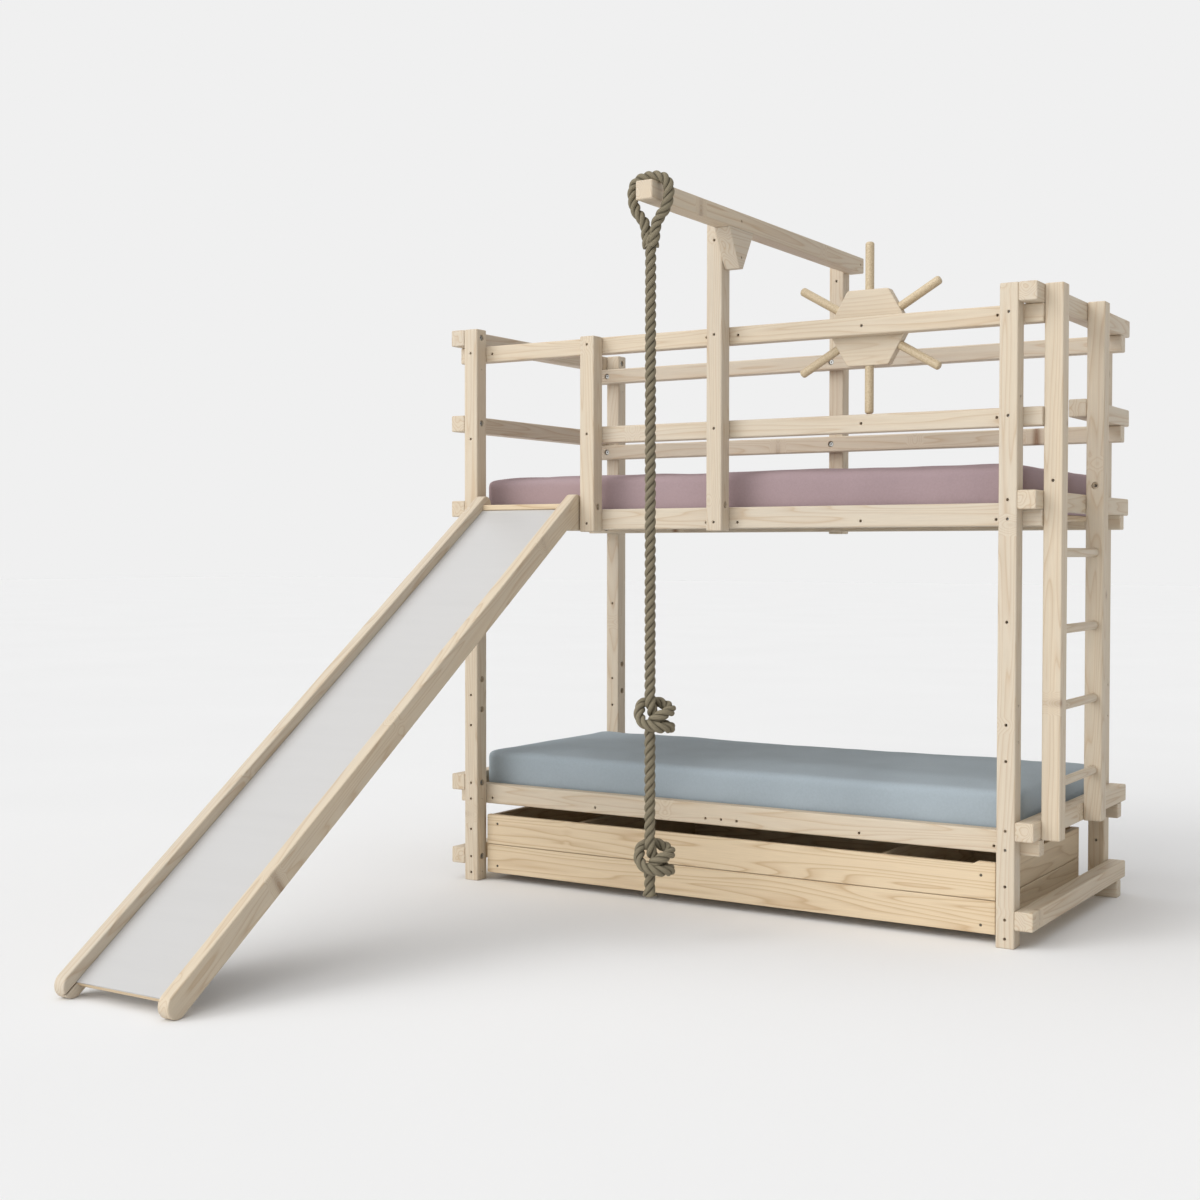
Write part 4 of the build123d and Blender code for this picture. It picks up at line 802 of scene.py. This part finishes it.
FASTENER_SIZES = ("Head radius", "Head height", "Shank radius", "Shank length", "Recess radius", "Recess depth")


def fastener_tree(name, head_sides, recess_sides, material):
    """Nodes that stand one fastener, with a recess in its head, on each point."""
    tree = bpy.data.node_groups.new(name, "GeometryNodeTree")
    tree.interface.new_socket("Geometry", in_out="INPUT", socket_type="NodeSocketGeometry")
    for size in FASTENER_SIZES:
        tree.interface.new_socket(size, in_out="INPUT", socket_type="NodeSocketFloat")
    tree.interface.new_socket("Geometry", in_out="OUTPUT", socket_type="NodeSocketGeometry")
    given = add(tree, "NodeGroupInput")
    head = add(tree, "GeometryNodeMeshCylinder", inputs={
        "Vertices": head_sides, "Radius": given.outputs["Head radius"], "Depth": given.outputs["Head height"]})
    half_head = add(tree, "ShaderNodeMath", {"operation": "MULTIPLY"}, {0: given.outputs["Head height"], 1: -0.5})
    head_down = add(tree, "ShaderNodeCombineXYZ", inputs={"Z": half_head.outputs[0]})
    head_set = add(tree, "GeometryNodeTransform", inputs={
        "Geometry": head.outputs[0], "Translation": head_down.outputs[0]})
    recess_depth = add(tree, "ShaderNodeMath", {"operation": "MULTIPLY"}, {0: given.outputs["Recess depth"], 1: 2.0})
    recess = add(tree, "GeometryNodeMeshCylinder", inputs={
        "Vertices": recess_sides, "Radius": given.outputs["Recess radius"], "Depth": recess_depth.outputs[0]})
    cut = add(tree, "GeometryNodeMeshBoolean", {"operation": "DIFFERENCE"},
              {"Mesh 1": head_set.outputs[0], "Mesh 2": recess.outputs[0]})
    shank = add(tree, "GeometryNodeMeshCylinder", inputs={
        "Vertices": 10, "Radius": given.outputs["Shank radius"], "Depth": given.outputs["Shank length"]})
    half_shank = add(tree, "ShaderNodeMath", {"operation": "MULTIPLY_ADD"},
                     {0: given.outputs["Shank length"], 1: -0.5})
    tree.links.new(add(tree, "ShaderNodeMath", {"operation": "MULTIPLY"},
                       {0: given.outputs["Head height"], 1: -0.98}).outputs[0], half_shank.inputs[2])
    shank_down = add(tree, "ShaderNodeCombineXYZ", inputs={"Z": half_shank.outputs[0]})
    shank_set = add(tree, "GeometryNodeTransform", inputs={"Geometry": shank.outputs[0],
                                                           "Translation": shank_down.outputs[0]})
    whole = add(tree, "GeometryNodeJoinGeometry")
    tree.links.new(cut.outputs[0], whole.inputs[0])
    tree.links.new(shank_set.outputs[0], whole.inputs[0])
    facing = add(tree, "GeometryNodeInputNamedAttribute", {"data_type": "FLOAT_VECTOR"}, {"Name": "facing"})
    turn = add(tree, "FunctionNodeAlignRotationToVector", {"axis": "Z"}, {"Vector": facing.outputs[0]})
    placed = add(tree, "GeometryNodeInstanceOnPoints", inputs={
        "Points": given.outputs["Geometry"], "Instance": whole.outputs[0], "Rotation": turn.outputs[0]})
    real = add(tree, "GeometryNodeRealizeInstances", inputs={0: placed.outputs[0]})
    finished = add(tree, "GeometryNodeSetMaterial", inputs={"Geometry": real.outputs[0], "Material": material})
    add(tree, "NodeGroupOutput", inputs={0: finished.outputs[0]})
    return tree


def stand_fasteners(name, node, tree, sizes, material):
    """One mesh with a fastener at every place of a frame node."""
    heads = fasteners(node)
    points = bpy.data.meshes.new(f"{name}_points")
    points.from_pydata([place for place, _ in heads], [], [])
    facing = points.attributes.new("facing", "FLOAT_VECTOR", "POINT")
    for number, (_, way) in enumerate(heads):
        facing.data[number].vector = way
    holder = mesh_object(f"{name}_holder", points)
    nodes = holder.modifiers.new("fasteners", "NODES")
    nodes.node_group = tree
    for item in tree.interface.items_tree:
        if item.in_out == "INPUT" and item.name in sizes:
            nodes[item.identifier] = sizes[item.name]
    made = bpy.data.meshes.new_from_object(holder.evaluated_get(bpy.context.evaluated_depsgraph_get()))
    bpy.data.objects.remove(holder)
    if len(made.polygons) < len(heads) * 20:
        raise RuntimeError(f"{name}: the nodes made only {len(made.polygons)} faces")
    made.materials.clear()
    return mesh_object(name, made, material)


class BED_OT_bolts(bpy.types.Operator):
    """Stand a socket-head bolt in every counterbore of the frame"""
    bl_idname = "bed.bolts"
    bl_label = "Frame bolts"

    def execute(self, context):
        sizes = context.scene.bed_bolts
        zinc = zinc_plated("zinc plated steel", linear("a9a9a6"))
        tree = fastener_tree("socket head bolt", 24, 6, zinc)
        bolts = stand_fasteners("frame_bolt_heads", "frame_bolts", tree, {
            "Head radius": sizes.head, "Head height": sizes.head_height, "Shank radius": sizes.shank,
            "Shank length": 80 * MM, "Recess radius": 3.4 * MM, "Recess depth": 4 * MM}, zinc)
        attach(bolts, "frame")
        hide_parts("frame_bolts")
        dress("zinc_steel", zinc)
        return {"FINISHED"}


class BED_OT_screws(bpy.types.Operator):
    """Stand a wood screw at each corner of the drawer's planks"""
    bl_idname = "bed.screws"
    bl_label = "Drawer screws"

    def execute(self, context):
        sizes = context.scene.bed_bolts
        steel = zinc_plated("blackened screw steel", linear("6f675c"))
        tree = fastener_tree("wood screw", 20, 4, steel)
        screws = stand_fasteners("drawer_screw_heads", "drawer_screws", tree, {
            "Head radius": sizes.screw_head, "Head height": 3 * MM, "Shank radius": 2.2 * MM,
            "Shank length": 41 * MM, "Recess radius": 2.2 * MM, "Recess depth": 1.8 * MM}, steel)
        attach(screws, "drawer")
        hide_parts("drawer_screws")
        return {"FINISHED"}


class BED_OT_studio(bpy.types.Operator):
    """Set the pale floor, the light and the camera"""
    bl_idname = "bed.studio"
    bl_label = "Studio"

    def execute(self, context):
        scene = context.scene
        settings = scene.bed_studio
        scene.view_settings.view_transform = "Standard"
        world = bpy.data.worlds.new("studio")
        scene.world = world
        world.use_nodes = True
        tree = world.node_tree
        tree.nodes.clear()
        ways = add(tree, "ShaderNodeLightPath")
        seen = add(tree, "ShaderNodeMath", {"operation": "MAXIMUM"},
                   {0: ways.outputs["Is Camera Ray"], 1: ways.outputs["Is Glossy Ray"]})
        seen_through = add(tree, "ShaderNodeMath", {"operation": "MAXIMUM"},
                           {0: seen.outputs[0], 1: ways.outputs["Is Transmission Ray"]})
        glow = add(tree, "ShaderNodeBackground", inputs={"Color": (1, 1, 1, 1), "Strength": settings.ambient})
        backdrop = add(tree, "ShaderNodeBackground", inputs={"Color": rgba(settings.backdrop), "Strength": 1.0})
        either = add(tree, "ShaderNodeMixShader", inputs={0: seen_through.outputs[0], 1: glow.outputs[0],
                                                         2: backdrop.outputs[0]})
        add(tree, "ShaderNodeOutputWorld", inputs={0: either.outputs[0]})
        for name, strength, width, way in (("key", settings.key, 30, (0.50, 0.62, -0.60)),
                                           ("front", settings.front, 70, (0.32, 0.94, -0.12)),
                                           ("overhead", settings.overhead, 95, (0.12, 0.15, -0.98))):
            lamp = bpy.data.lights.new(name, "SUN")
            lamp.energy = strength
            lamp.angle = math.radians(width)
            light = bpy.data.objects.new(name, lamp)
            light.rotation_euler = Vector(way).to_track_quat("-Z", "Y").to_euler()
            scene.collection.objects.link(light)
        material, tree = new_material("painted floor")
        coords = add(tree, "ShaderNodeTexCoord")
        clouds = add(tree, "ShaderNodeTexNoise", inputs={"Vector": coords.outputs["Object"], "Scale": 0.7})
        tone = stops(add(tree, "ShaderNodeValToRGB", inputs={"Fac": clouds.outputs["Fac"]}), (0.3, 0.848), (0.7, 0.860))
        shader = add(tree, "ShaderNodeBsdfDiffuse", inputs={"Color": tone.outputs[0]})
        finish_material(tree, shader)
        mesh = bpy.data.meshes.new("floor")
        reach = 60.0
        mesh.from_pydata([(-reach, -reach, 0), (reach, -reach, 0), (reach, reach, 0), (-reach, reach, 0)], [],
                         [(0, 1, 2, 3)])
        mesh_object("floor", mesh, material)
        camera = bpy.data.cameras.new("camera")
        camera.sensor_fit = "HORIZONTAL"
        camera.sensor_width = CAMERA_SENSOR
        camera.lens = CAMERA_LENS
        camera.shift_y = CAMERA_SHIFT
        camera.clip_end = 200.0
        view = bpy.data.objects.new("camera", camera)
        view.matrix_world = (Matrix.Translation(CAMERA_PLACE) @ Matrix.Rotation(CAMERA_TURN, 4, "Z")
                             @ Matrix.Rotation(math.pi / 2 + CAMERA_PITCH, 4, "X")
                             @ Matrix.Rotation(CAMERA_ROLL, 4, "Z"))
        scene.collection.objects.link(view)
        scene.camera = view
        return {"FINISHED"}


OPERATORS = (BED_OT_studio, BED_OT_rope, BED_OT_timber, BED_OT_slide_face, BED_OT_castors, BED_OT_bolts,
             BED_OT_screws, BED_OT_upper_mattress, BED_OT_lower_mattress)


class BED_PT_panel(bpy.types.Panel):
    bl_label = "Bunk bed with slide"
    bl_idname = "BED_PT_panel"
    bl_space_type = "VIEW_3D"
    bl_region_type = "UI"
    bl_category = "Bunk bed"

    def draw(self, context):
        for group in ("bed_colours", "bed_rope", "bed_covers", "bed_bolts", "bed_studio"):
            settings = getattr(context.scene, group)
            for name in settings.bl_rna.properties.keys():
                if name not in ("rna_type", "name"):
                    self.layout.prop(settings, name)
        for operator in OPERATORS:
            self.layout.operator(operator.bl_idname)


GROUPS = {"bed_colours": BedColours, "bed_rope": RopeSizes, "bed_covers": CoverSizes, "bed_bolts": BoltSizes,
          "bed_studio": StudioSettings}


def register():
    for group in (*GROUPS.values(), *OPERATORS, BED_PT_panel):
        bpy.utils.register_class(group)
    for name, group in GROUPS.items():
        setattr(bpy.types.Scene, name, PointerProperty(type=group))


def unregister():
    for name in GROUPS:
        delattr(bpy.types.Scene, name)
    for group in reversed((*GROUPS.values(), *OPERATORS, BED_PT_panel)):
        bpy.utils.unregister_class(group)


def main():
    register()
    bpy.ops.bed.studio()
    bpy.ops.bed.rope()
    bpy.ops.bed.timber()
    bpy.ops.bed.slide_face()
    bpy.ops.bed.castors()
    bpy.ops.bed.bolts()
    bpy.ops.bed.screws()
    bpy.ops.bed.upper_mattress()
    bpy.ops.bed.lower_mattress()


if __name__ == "__main__":
    main()
